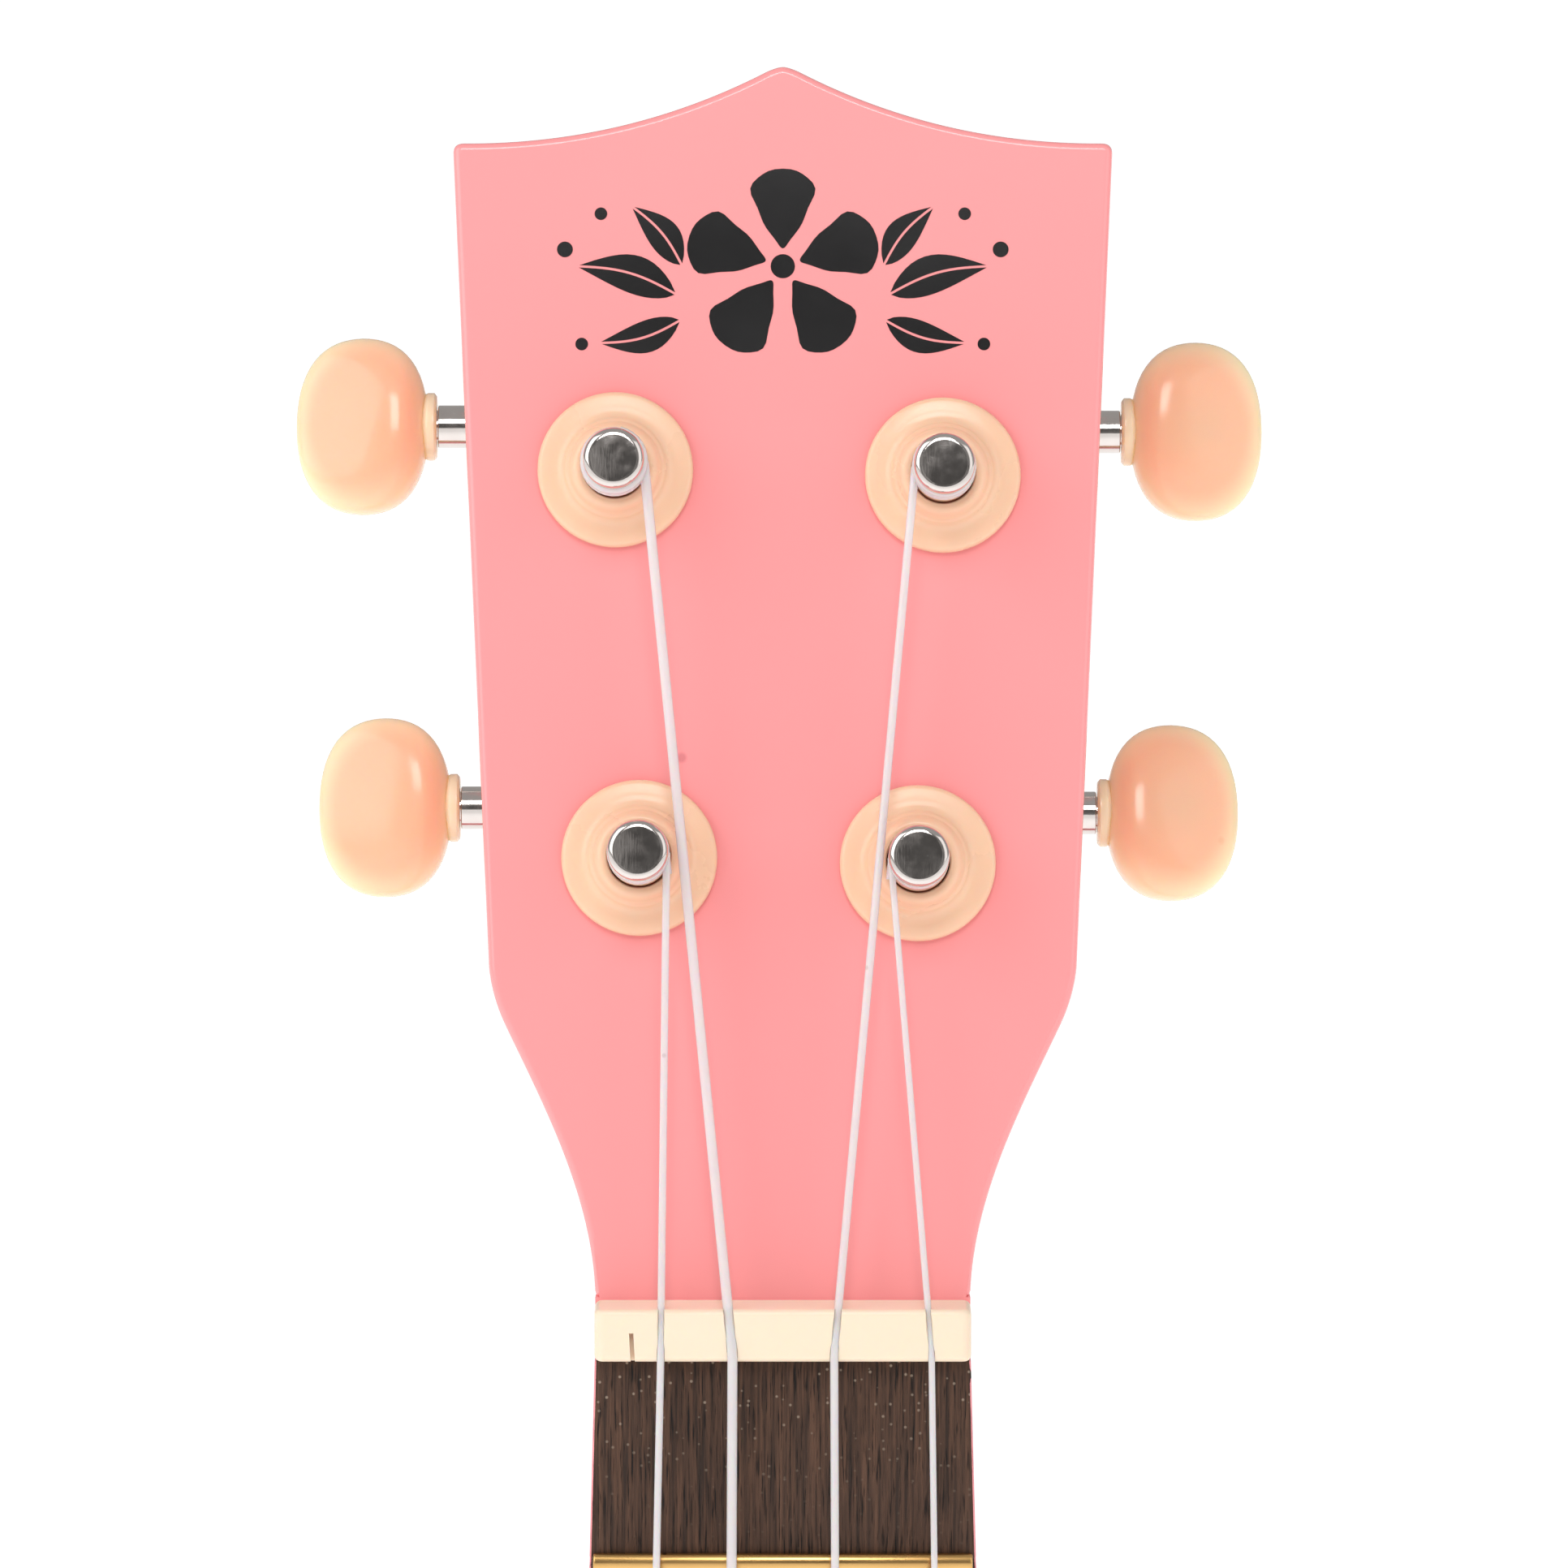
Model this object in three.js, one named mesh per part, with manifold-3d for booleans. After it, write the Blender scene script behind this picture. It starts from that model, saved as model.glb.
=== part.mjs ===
// Soprano ukulele with geared tuners, in millimetres.
// Everything is modelled as seen by someone facing the instrument: x to the right, y up the neck
// toward the head, z out toward the viewer. The fretboard's face is z = 0 and the nut's edge on the
// fretboard side is y = 0. The last lines stand it upright: y becomes +Z and the front faces -Y.

import * as THREE from 'three';
import { mergeVertices } from 'three/addons/utils/BufferGeometryUtils.js';
import Module from 'manifold-3d';

const wasm = await Module();
wasm.setup();

// ---- neck, fretboard and nut
const scaleLength = 346;            // nut to saddle, before compensation
const fretCount = 12;               // the last fret is over the neck joint
const nutWidth = 35.2;
const nutThickness = 5.2;
const nutAboveBoard = 2;
const boardThickness = 3.5;
const boardEndWidth = 45;           // width over the neck joint
const boardPastJoint = 5;
const neckDepthAtNut = 14;          // wood only, without the fretboard
const neckDepthAtHeel = 16;
const heelDepth = 44;
const heelLength = 34;
const fretWidth = 2;
const fretHeight = 1;
const fretInset = 0.35;             // fret ends stop short of the fretboard's edges
const tangWidth = 0.5;
const tangDepth = 1.6;
const dotRadius = 3;
const dotDepth = 1;
const dotFrets = [5, 7, 10];

// ---- head
const headAngle = 13;               // degrees, tilted back from the fretboard
const headThickness = 12;
const headTop = 109.2;              // height of the two upper corners above the nut
const headTip = 116.5;
const headTopWidth = 62.4;
const headLowWidth = 55.3;
const headFlareTop = 31;            // where the flared part meets the straight sides
const headEdgeRound = 0.6;

// ---- tuners: each post's place on the head, above the nut's back edge
const tuners = [
  { name: 'g', x: -13.5, y: 41.3, side: -1, buttonTurn: -2 },
  { name: 'c', x: -15.8, y: 78.0, side: -1, buttonTurn: -7 },
  { name: 'e', x: 15.1, y: 77.5, side: 1, buttonTurn: 0 },
  { name: 'a', x: 12.7, y: 40.8, side: 1, buttonTurn: -11 },
];
const postRadius = 2.85;
const postWaistRadius = 2.2;        // where the string winds
const postTop = 11.5;               // cap above the head's face
const capHeight = 1.7;
const waistBottom = 5.4;
const bushingFlangeRadius = 7.35;
const bushingFlangeThickness = 1.2;
const collarBaseRadius = 4.85;
const collarTopRadius = 3.6;
const collarTop = 3.9;
const bushingSleeveRadius = 4;
const bushingSleeveLength = 8;
const gearTeeth = 14;
const gearRadius = 3.9;             // pitch radius of the wheel
const gearWidth = 2.4;
const wormRadius = 2.1;             // pitch radius of the worm
const toothHeight = 0.42;           // crest above the pitch radius, wheel and worm alike
const toothDepth = 0.58;            // root below the pitch radius
const toothPlay = 0.115;            // between a tooth and the gap it runs in
const toothThickness = Math.PI * gearRadius / gearTeeth - toothPlay;    // at the pitch radius
const flankSlope = 0.34;            // half thickness lost per millimetre of height
const postPivotRadius = 1.6;
const shaftBehindHead = 4.6;        // shaft axis behind the head's back
const shaftRadius = 2.05;
const journalRadius = 2.65;         // larger than the worm, so that the shaft goes in from the side
const farJournalRadius = 1.2;
const housingHalfWidth = 7;
const housingBelow = 6.4;           // from the post's axis
const housingAbove = 10.4;
const housingDepth = 9.3;
const housingWall = 1.9;
const lugReach = 9.8;               // housing screw below the post's axis
const lugRadius = 3.4;
const lugThickness = 2.4;
const screwRadius = 1;
const screwHeadRadius = 2.2;
const screwDepth = 8;
const buttonStart = 17.4;           // from the post's axis
const buttonLength = 13.5;
const buttonHeight = 17.2;
const buttonThickness = 8;

// ---- body
const bodyLength = scaleLength * 120 / 173;
const bodyDepth = 60;
const upperBout = 128;
const waist = 108;
const lowerBout = 170;
const upperBoutAt = bodyLength * 0.2;     // each below the neck joint
const waistAt = bodyLength * 0.425;
const lowerBoutAt = bodyLength * 0.7;
const jointFlat = 24;               // half width of the flat where the neck meets the body
const sideThickness = 2.4;
const backThickness = 2.2;
const soundboardThickness = 2;
const plateRim = 0.7;               // rounding of the soundboard's and the back's outer edges
const liningWidth = 4.5;
const liningHeight = 9;
const soundholeRadius = 25;
const soundholeAt = bodyLength * 19 / 60;
const rosetteInner = 28.5;
const rosetteOuter = 32;
const rosetteDepth = 0.8;
const blockWidth = 44;
const blockLength = 28;
const tailLength = 14;
const braceWidth = 6;
const braceHeight = 8;
const plateThickness = 2;
const plateWidth = 88;
const plateLength = 34;
const neckScrewRadius = 2.5;
const neckScrewHeadRadius = 4.5;
const neckScrewBite = 16;           // length inside the heel
const neckScrewBelowFace = 14;      // behind the soundboard's face

// ---- bridge and strings
const saddleSetback = 1.5;          // compensation
const saddleThickness = 2.4;
const saddleLength = 58;
const saddleTop = 5.15;             // above the fretboard's plane
const bridgeWidth = 76;
const bridgeBlockWidth = 62;
const bridgeHeight = 6.6;
const bridgeWingHeight = 3.4;
const bridgeAhead = 7;              // from the saddle's middle toward the soundhole
const bridgeBehind = 15;
const stringFloor = 1.55;           // underside of the strings in the nut
const stringSlotWidth = 1.3;        // slots in the bridge that hold the knotted ends
const stringSlotFloor = 2.2;        // above the soundboard
const saddleSlotFloor = 2.5;        // above the soundboard
const stringEntersSlot = 10.5;      // behind the saddle
const stringEndPast = 0.8;          // string end behind the bridge
const windingHeight = 7.4;          // where a string leaves its post, above the head's face
const strings = [
  { name: 'g', radius: 0.35, nutX: -11.4, saddleX: -19 },
  { name: 'c', radius: 0.48, nutX: -4.7, saddleX: -6.4 },
  { name: 'e', radius: 0.39, nutX: 4.8, saddleX: 6.4 },
  { name: 'a', radius: 0.31, nutX: 13.9, saddleX: 19 },
];
const spareGrooveX = -14.05;        // a groove of the nut that holds no string

// ---- clearances
const glueGap = 0.1;                // between pieces that are glued or pressed together
const slideGap = 0.15;              // between pieces that turn in one another
const slotGap = 0.12;               // each side of a fret's tang or an inlay
const caseGap = 0.5;                // round the worm and the wheel in the housing

const degree = Math.PI / 180;
const jointY = -scaleLength / 2;
const saddleY = -scaleLength - saddleSetback;
const bodyFront = -boardThickness;
const sidesFront = bodyFront - soundboardThickness - glueGap;
const bodyBack = bodyFront - bodyDepth;
const sidesBack = bodyBack + backThickness + glueGap;
const neckScrewZ = bodyFront - neckScrewBelowFace;
const headBack = -headThickness;
const shaftRise = gearRadius + wormRadius;      // worm axis above the post's axis
const shaftZ = headBack - shaftBehindHead;
const soundholeY = jointY - soundholeAt;
const bridgeMiddle = saddleY + (bridgeAhead - bridgeBehind) / 2;
const saddleFoot = bodyFront + saddleSlotFloor + glueGap;
// braces lie midway between the pieces they stiffen the soundboard between
const upperBraceY = (jointY - sideThickness - blockLength + soundholeY + rosetteOuter) / 2;
const lowerBraceY = (soundholeY - rosetteOuter + bridgeMiddle + plateLength / 2) / 2;
// Lays an outline drawn along the neck and out of it so that it is extruded across the neck.
const acrossNeck = new THREE.Matrix4().makeBasis(
  new THREE.Vector3(0, 1, 0), new THREE.Vector3(0, 0, 1), new THREE.Vector3(1, 0, 0),
);

const finishes = {
  paint: { color: 0xfbaab0, roughness: 0.35, metalness: 0 },
  darkWood: { color: 0x54423b, roughness: 0.6, metalness: 0 },
  paleWood: { color: 0xd9b98c, roughness: 0.7, metalness: 0 },
  cream: { color: 0xf7d9b5, roughness: 0.35, metalness: 0 },
  pearl: { color: 0xf2efe9, roughness: 0.3, metalness: 0 },
  chrome: { color: 0xc8c8cc, roughness: 0.15, metalness: 1 },
  brass: { color: 0xc9a063, roughness: 0.3, metalness: 1 },
  steel: { color: 0x9a9a9c, roughness: 0.35, metalness: 1 },
  nylon: { color: 0xf4eeee, roughness: 0.25, metalness: 0 },
};

// ---- making solids

// The geometry with shared corners merged and collapsed triangles left out.
function welded(geometry) {
  const bare = geometry.index ? geometry.toNonIndexed() : geometry.clone();
  bare.deleteAttribute('normal');
  bare.deleteAttribute('uv');
  const merged = mergeVertices(bare, 1e-4);
  const corners = merged.index.array;
  const kept = [];
  for (let i = 0; i < corners.length; i += 3) {
    const [a, b, c] = [corners[i], corners[i + 1], corners[i + 2]];
    if (a !== b && b !== c && c !== a) kept.push(a, b, c);
  }
  merged.setIndex(kept);
  return merged;
}

function solid(geometry) {
  const mesh = welded(geometry);
  return new wasm.Manifold(new wasm.Mesh({
    numProp: 3,
    vertProperties: mesh.attributes.position.array,
    triVerts: Uint32Array.from(mesh.index.array),
  }));
}

function geometryOf(manifold) {
  const mesh = manifold.getMesh();
  const geometry = new THREE.BufferGeometry();
  geometry.setAttribute('position', new THREE.BufferAttribute(mesh.vertProperties, 3));
  geometry.setIndex(Array.from(mesh.triVerts));
  return geometry;
}

// The left-hand twin of a right-hand piece.
function mirrored(geometry) {
  const twin = welded(geometry);
  twin.scale(-1, 1, 1);
  const corners = Array.from(twin.index.array);
  for (let i = 0; i < corners.length; i += 3) {
    [corners[i], corners[i + 1]] = [corners[i + 1], corners[i]];
  }
  twin.setIndex(corners);
  return twin;
}

function addPiece(group, name, shape, finish) {
  const geometry = shape.isBufferGeometry ? shape : geometryOf(shape);
  const mesh = new THREE.Mesh(geometry, new THREE.MeshStandardMaterial(finishes[finish]));
  mesh.name = name;
  group.add(mesh);
}

function block(x0, x1, y0, y1, z0, z1) {
  const box = new THREE.BoxGeometry(x1 - x0, y1 - y0, z1 - z0);
  return box.translate((x0 + x1) / 2, (y0 + y1) / 2, (z0 + z1) / 2);
}

// A plate of the outline, from z0 up to z1, with holes given as shapes.
function plate(outline, z0, z1) {
  return new THREE.ExtrudeGeometry(outline, { depth: z1 - z0, bevelEnabled: false }).translate(0, 0, z0);
}

// A plate whose two rims are rounded.
function roundedPlate(outline, z0, z1, rim, segments = 2) {
  const slab = new THREE.ExtrudeGeometry(outline, {
    depth: z1 - z0 - 2 * rim,
    bevelEnabled: true,
    bevelThickness: rim,
    bevelSize: rim,
    bevelOffset: -rim,
    bevelSegments: segments,
  });
  return slab.translate(0, 0, z0 + rim);
}

// A turned piece round the z axis. The profile is a list of [radius, z].
function turned(profile, sides) {
  const points = profile.map(([radius, z]) => new THREE.Vector2(radius, z));
  return new THREE.LatheGeometry(points, sides).rotateX(Math.PI / 2);
}

// A prism round the z axis that clears a round piece of this radius on every flat.
function borer(radius, z0, z1, sides = 12) {
  const reach = radius / Math.cos(Math.PI / sides);
  return turned([[0, z0], [reach, z0], [reach, z1], [0, z1]], sides);
}

// The same, lying along x.
function crossBorer(radius, x0, x1, sides = 12) {
  return borer(radius, x0, x1, sides).rotateY(Math.PI / 2);
}

// A closed skin over rings that all have the same number of points, with both ends filled.
function loft(rings) {
  const count = rings[0].length;
  const corners = [];
  const ends = [rings[0], rings[rings.length - 1]].map((ring) => {
    const middle = new THREE.Vector3();
    ring.forEach((point) => middle.add(point));
    return middle.divideScalar(count);
  });
  for (let i = 0; i < count; i += 1) {
    const j = (i + 1) % count;
    corners.push(ends[0], rings[0][j], rings[0][i]);
    corners.push(ends[1], rings[rings.length - 1][i], rings[rings.length - 1][j]);
    for (let k = 0; k + 1 < rings.length; k += 1) {
      corners.push(rings[k][i], rings[k][j], rings[k + 1][j]);
      corners.push(rings[k][i], rings[k + 1][j], rings[k + 1][i]);
    }
  }
  return new THREE.BufferGeometry().setFromPoints(corners);
}

// A symmetric outline from its right half, which runs from the bottom middle to the top middle
// or the other way. Points on the middle line are not repeated.
function symmetricOutline(rightHalf, divisions) {
  const right = rightHalf.getPoints(divisions);
  const left = right.filter((point) => Math.abs(point.x) > 1e-6);
  left.reverse();
  return new THREE.Shape(right.concat(left.map((point) => new THREE.Vector2(-point.x, point.y))));
}

function roundedRectangle(x0, x1, y0, y1, radius, divisions = 4) {
  const shape = new THREE.Shape();
  shape.absarc(x1 - radius, y0 + radius, radius, -Math.PI / 2, 0, false);
  shape.absarc(x1 - radius, y1 - radius, radius, 0, Math.PI / 2, false);
  shape.absarc(x0 + radius, y1 - radius, radius, Math.PI / 2, Math.PI, false);
  shape.absarc(x0 + radius, y0 + radius, radius, Math.PI, 1.5 * Math.PI, false);
  return new THREE.Shape(shape.getPoints(divisions));
}

function circleHole(x, y, radius, sides) {
  const ring = [];
  for (let i = 0; i < sides; i += 1) {
    const angle = (2 * Math.PI * i) / sides;
    ring.push(new THREE.Vector2(x + radius * Math.cos(angle), y + radius * Math.sin(angle)));
  }
  return new THREE.Path(ring);
}

// ---- places shared by several pieces

// From the head's own frame (z = 0 on its face, y = 0 at the nut's back edge) to the instrument's.
const headFrame = new THREE.Matrix4()
  .makeTranslation(0, nutThickness, -boardThickness)
  .multiply(new THREE.Matrix4().makeRotationX(-headAngle * degree));

function fromHead(x, y, z) {
  return new THREE.Vector3(x, y, z).applyMatrix4(headFrame);
}

function fretY(number) {
  return -scaleLength * (1 - 2 ** (-number / 12));
}

function boardHalfWidth(y) {
  return nutWidth / 2 + ((boardEndWidth - nutWidth) / 2) * (y / jointY);
}

const headHalf = new THREE.Path();
headHalf.moveTo(nutWidth / 2, 0);
headHalf.bezierCurveTo(
  nutWidth / 2 + 0.2, headFlareTop * 0.3,
  headLowWidth / 2 - 5.2, headFlareTop * 0.58,
  headLowWidth / 2 - 1.6, headFlareTop - 5.5,
);
headHalf.quadraticCurveTo(headLowWidth / 2 - 0.3, headFlareTop - 2.8, headLowWidth / 2, headFlareTop);
headHalf.lineTo(headTopWidth / 2, headTop - 1);
headHalf.quadraticCurveTo(headTopWidth / 2, headTop, headTopWidth / 2 - 1, headTop);
headHalf.quadraticCurveTo(headTopWidth / 2 - 16.3, headTop - 0.1, 0, headTip);
const headOutline = symmetricOutline(headHalf, 6);

function bodyHalf() {
  const top = jointY;
  const bottom = jointY - bodyLength;
  const shoulder = upperBoutAt * 0.48;
  const upperToWaist = (waistAt - upperBoutAt) * 0.45;
  const waistToLower = (lowerBoutAt - waistAt) * 0.42;
  const tail = bodyLength - lowerBoutAt;
  const half = new THREE.Path();
  half.moveTo(0, top);
  half.lineTo(jointFlat, top);
  half.bezierCurveTo(jointFlat + 18, top, upperBout / 2, top - shoulder, upperBout / 2, top - upperBoutAt);
  half.bezierCurveTo(
    upperBout / 2, top - upperBoutAt - upperToWaist,
    waist / 2, top - waistAt + upperToWaist,
    waist / 2, top - waistAt,
  );
  half.bezierCurveTo(
    waist / 2, top - waistAt - waistToLower,
    lowerBout / 2, top - lowerBoutAt + waistToLower,
    lowerBout / 2, top - lowerBoutAt,
  );
  half.bezierCurveTo(
    lowerBout / 2, top - lowerBoutAt - tail * 0.58,
    lowerBout * 0.28, bottom,
    0, bottom,
  );
  return half;
}
const bodyOutline = symmetricOutline(bodyHalf(), 8);

// The body's outline moved inward by the inset, from z0 up to z1.
function bodySlab(inset, z0, z1) {
  return solid(new THREE.ExtrudeGeometry(bodyOutline, {
    depth: z1 - z0 - 2 * plateRim,
    bevelEnabled: true,
    bevelThickness: plateRim,
    bevelSize: 0,
    bevelOffset: -inset,
    bevelSegments: 1,
  }).translate(0, 0, z0 + plateRim));
}

// A hoop that follows the body's outline, lying between two insets.
function bodyHoop(outerInset, innerInset, z0, z1) {
  return bodySlab(outerInset, z0, z1).subtract(bodySlab(innerInset, z0 - 5, z1 + 5));
}

const liningInset = sideThickness + glueGap;

function liningAt(z0, z1, spare) {
  return bodyHoop(liningInset - spare, liningInset + liningWidth + spare, z0 - spare, z1 + spare);
}

// What is cut away from a block so that it clears both linings.
function aroundLinings() {
  const front = liningAt(sidesFront - liningHeight, sidesFront, glueGap);
  return front.add(liningAt(sidesBack, sidesBack + liningHeight, glueGap));
}

// ---- neck

// One cross-section of the neck: a flat front and a round back.
function neckSection(halfWidth, depth, place) {
  const steps = 10;
  const ring = [];
  for (let i = 0; i <= steps; i += 1) {
    const angle = (Math.PI * i) / steps;
    const across = Math.sign(Math.cos(angle)) * Math.abs(Math.cos(angle)) ** 0.8;
    ring.push(place(halfWidth * across, -depth * Math.sin(angle) ** 0.85));
  }
  return ring;
}

function neckDepth(y) {
  const along = y / jointY;
  const shaft = neckDepthAtNut + (neckDepthAtHeel - neckDepthAtNut) * along;
  const intoHeel = Math.max(0, 1 - (y - jointY) / heelLength);
  return shaft + (heelDepth - shaft) * intoHeel ** 2.2;
}

function makeNeck() {
  const rings = [];
  const shaftStations = [0, 0.15, 0.3, 0.45, 0.6, 0.8, 1].map((share) => share * heelLength);
  shaftStations.push(-jointY * 0.6, -jointY - 2);
  shaftStations.forEach((aboveJoint) => {
    const y = jointY + aboveJoint + (aboveJoint === 0 ? glueGap : 0);
    const halfWidth = boardHalfWidth(y);
    rings.push(neckSection(halfWidth, neckDepth(y), (x, z) => new THREE.Vector3(x, y, z - boardThickness)));
  });
  // the shaft runs on into the head as a low hump on its back
  [[2, 0, 1.2], [11, 0.2, 0.9], [20, 1.2, 0.5], [28, 0.5, -0.6]].forEach(([y, wider, proud]) => {
    const halfWidth = nutWidth / 2 + wider;
    rings.push(neckSection(halfWidth, headThickness + proud, (x, z) => fromHead(x, y, z - 0.2)));
  });
  let neck = solid(loft(rings));
  const head = roundedPlate(headOutline, headBack, 0, headEdgeRound, 1).applyMatrix4(headFrame);
  neck = neck.add(solid(head));

  // the step that the nut stands on
  const nutSeat = block(-nutWidth, nutWidth, -1, nutThickness, -boardThickness, 10);
  neck = neck.subtract(solid(nutSeat));

  tuners.forEach((tuner) => {
    const postHole = borer(bushingSleeveRadius + glueGap, headBack - 5, 5, 16);
    postHole.translate(tuner.x, tuner.y, 0);
    const pilot = borer(screwRadius + glueGap, headBack - 3, headBack + screwDepth + 0.5, 8);
    pilot.translate(tuner.x, tuner.y - lugReach, 0);
    neck = neck.subtract(solid(postHole.applyMatrix4(headFrame)));
    neck = neck.subtract(solid(pilot.applyMatrix4(headFrame)));
  });
  return neck.subtract(neckScrewHole(-1, neckScrewBite + 1, glueGap));
}

// A hole for the neck screw, between two distances above the joint.
function neckScrewHole(from, to, clearance) {
  const hole = borer(neckScrewRadius + clearance, from, to).rotateX(-Math.PI / 2);
  return solid(hole.translate(0, jointY, neckScrewZ));
}

// ---- fretboard, frets, dots and nut

function makeFretboard() {
  const end = jointY - boardPastJoint;
  const outline = new THREE.Shape([
    new THREE.Vector2(boardHalfWidth(0), -glueGap),
    new THREE.Vector2(-boardHalfWidth(0), -glueGap),
    new THREE.Vector2(-boardHalfWidth(end), end),
    new THREE.Vector2(boardHalfWidth(end), end),
  ]);
  let board = solid(plate(outline, glueGap - boardThickness, 0));
  for (let number = 1; number <= fretCount; number += 1) {
    const y = fretY(number);
    const half = tangWidth / 2 + slotGap;
    const slot = block(-boardEndWidth, boardEndWidth, y - half, y + half, -tangDepth - slotGap, 1);
    board = board.subtract(solid(slot));
  }
  dotFrets.forEach((number) => {
    const pocket = borer(dotRadius + slotGap, -dotDepth - slotGap, 1, 20);
    board = board.subtract(solid(pocket.translate(0, dotY(number), 0)));
  });
  return board;
}

function dotY(number) {
  return (fretY(number) + fretY(number - 1)) / 2;
}

// A fret's section: a low crown on a thin tang.
function makeFret(number) {
  const y = fretY(number);
  const half = boardHalfWidth(y) - fretInset;
  const crown = new THREE.Shape();
  crown.moveTo(-tangWidth / 2, slotGap / 2);
  crown.lineTo(-tangWidth / 2, -tangDepth);
  crown.lineTo(tangWidth / 2, -tangDepth);
  crown.lineTo(tangWidth / 2, slotGap / 2);
  crown.lineTo(fretWidth / 2, slotGap / 2);
  crown.quadraticCurveTo(fretWidth / 2, fretHeight, 0, fretHeight);
  crown.quadraticCurveTo(-fretWidth / 2, fretHeight, -fretWidth / 2, slotGap / 2);
  const bar = new THREE.ExtrudeGeometry(crown, { depth: 2 * half, bevelEnabled: false, curveSegments: 3 });
  return bar.applyMatrix4(acrossNeck).translate(-half, y, 0);
}

function makeNut() {
  const half = nutWidth / 2;
  const outline = roundedRectangle(-half, half, -boardThickness + glueGap, nutAboveBoard, 0.9, 3);
  // the outline stands across the neck and is extruded along it
  const bar = new THREE.ExtrudeGeometry(outline, {
    depth: nutThickness - 2 * glueGap - 1,
    bevelEnabled: true,
    bevelThickness: 0.5,
    bevelSize: 0.5,
    bevelOffset: -0.5,
    bevelSegments: 1,
  });
  bar.rotateX(Math.PI / 2).rotateZ(Math.PI);
  bar.translate(0, glueGap + 0.5, 0);
  let nut = solid(bar);
  strings.forEach((string) => {
    const route = stringRoute(string);
    nut = nut.subtract(solid(nutGroove(string.nutX, string.radius, route[1], route[0])));
  });
  const straight = new THREE.Vector3(spareGrooveX, 1, stringFloor);
  const ahead = new THREE.Vector3(spareGrooveX, 40, stringFloor - 6);
  return nut.subtract(solid(nutGroove(spareGrooveX, 0.1, straight, ahead)));
}

// A groove that follows a string from the nut's fretboard edge down toward its post.
function nutGroove(x, radius, bend, post) {
  const half = radius + slotGap;
  const floor = stringFloor - 0.04;
  const fall = (bend.z - post.z) / (post.y - bend.y);
  const side = new THREE.Shape([
    new THREE.Vector2(-2, floor),
    new THREE.Vector2(0, floor),
    new THREE.Vector2(nutThickness, floor - nutThickness * fall),
    new THREE.Vector2(nutThickness, nutAboveBoard + 2),
    new THREE.Vector2(-2, nutAboveBoard + 2),
  ]);
  const channel = new THREE.ExtrudeGeometry(side, { depth: 2 * half, bevelEnabled: false });
  channel.applyMatrix4(acrossNeck).translate(-half, 0, 0);
  channel.rotateZ(Math.atan2(bend.x - post.x, post.y - bend.y));
  return channel.translate(x, bend.y, 0);
}

// ---- strings

// From the post, over the nut and the saddle, into the slot of the bridge.
function stringRoute(string) {
  const tuner = tuners.find((each) => each.name === string.name);
  const tangentX = tuner.x - tuner.side * (postWaistRadius + string.radius + glueGap);
  const overSaddle = saddleTop + glueGap / 2 + string.radius;
  const slotFloor = bodyFront + stringSlotFloor + 2 * glueGap + string.radius;
  const slotMouth = saddleY - stringEntersSlot;
  return [
    fromHead(tangentX, tuner.y, windingHeight),
    new THREE.Vector3(string.nutX, 1, stringFloor + string.radius),
    new THREE.Vector3(string.saddleX, saddleY + 0.6, overSaddle),
    new THREE.Vector3(string.saddleX, saddleY - 0.6, overSaddle),
    new THREE.Vector3(string.saddleX, slotMouth + 1.5, slotFloor + 0.5),
    new THREE.Vector3(string.saddleX, slotMouth, slotFloor),
    new THREE.Vector3(string.saddleX, saddleY - bridgeBehind - stringEndPast, slotFloor),
  ];
}

// A curve that steps from point to point, so that its bends stay where they are put.
class PointRoute extends THREE.Curve {
  constructor(points) {
    super();
    this.points = points;
  }

  getPoint(t, target = new THREE.Vector3()) {
    const place = t * (this.points.length - 1);
    const index = Math.min(Math.floor(place), this.points.length - 2);
    return target.lerpVectors(this.points[index], this.points[index + 1], place - index);
  }

  getPointAt(t, target) {
    return this.getPoint(t, target);
  }

  getTangentAt(t, target) {
    return this.getTangent(t, target);
  }
}

function makeString(string) {
  const route = new PointRoute(stringRoute(string));
  const section = new THREE.Shape(circleHole(0, 0, string.radius, 8).getPoints());
  return new THREE.ExtrudeGeometry(section, { steps: route.points.length - 1, extrudePath: route });
}

// ---- tuners, each drawn with its post on the z axis and its button toward +x

function makeBushing() {
  const bore = (postRadius + slideGap) / Math.cos(Math.PI / 18);
  const rim = 0.25;
  return turned([
    [bore, -bushingSleeveLength],
    [bushingSleeveRadius, -bushingSleeveLength],
    [bushingSleeveRadius, glueGap],
    [bushingFlangeRadius, glueGap],
    [bushingFlangeRadius, bushingFlangeThickness - rim],
    [bushingFlangeRadius - rim, bushingFlangeThickness],
    [collarBaseRadius, bushingFlangeThickness],
    [collarTopRadius + 0.15, collarTop - rim],
    [collarTopRadius, collarTop],
    [bore, collarTop],
    [bore, -bushingSleeveLength],
  ], 18);
}

// The wheel's outline at one level, with a gap at the top, where the worm runs.
function wheelRing(twist, z) {
  const pitch = (2 * Math.PI) / gearTeeth;
  const ring = [];
  for (let tooth = 0; tooth < gearTeeth; tooth += 1) {
    const centre = Math.PI / 2 + (tooth + 0.5) * pitch + twist;
    const levels = [-toothDepth, toothHeight, toothHeight, -toothDepth];
    levels.forEach((level, i) => {
      const radius = gearRadius + level;
      const halfAngle = (toothThickness / 2 - level * flankSlope) / radius;
      const angle = centre + (i < 2 ? -halfAngle : halfAngle);
      ring.push(new THREE.Vector3(radius * Math.cos(angle), radius * Math.sin(angle), z));
    });
  }
  return ring;
}

// Circumference of one tooth, which is also how far the worm's thread advances in one turn.
const toothPitch = (2 * Math.PI * gearRadius) / gearTeeth;

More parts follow.
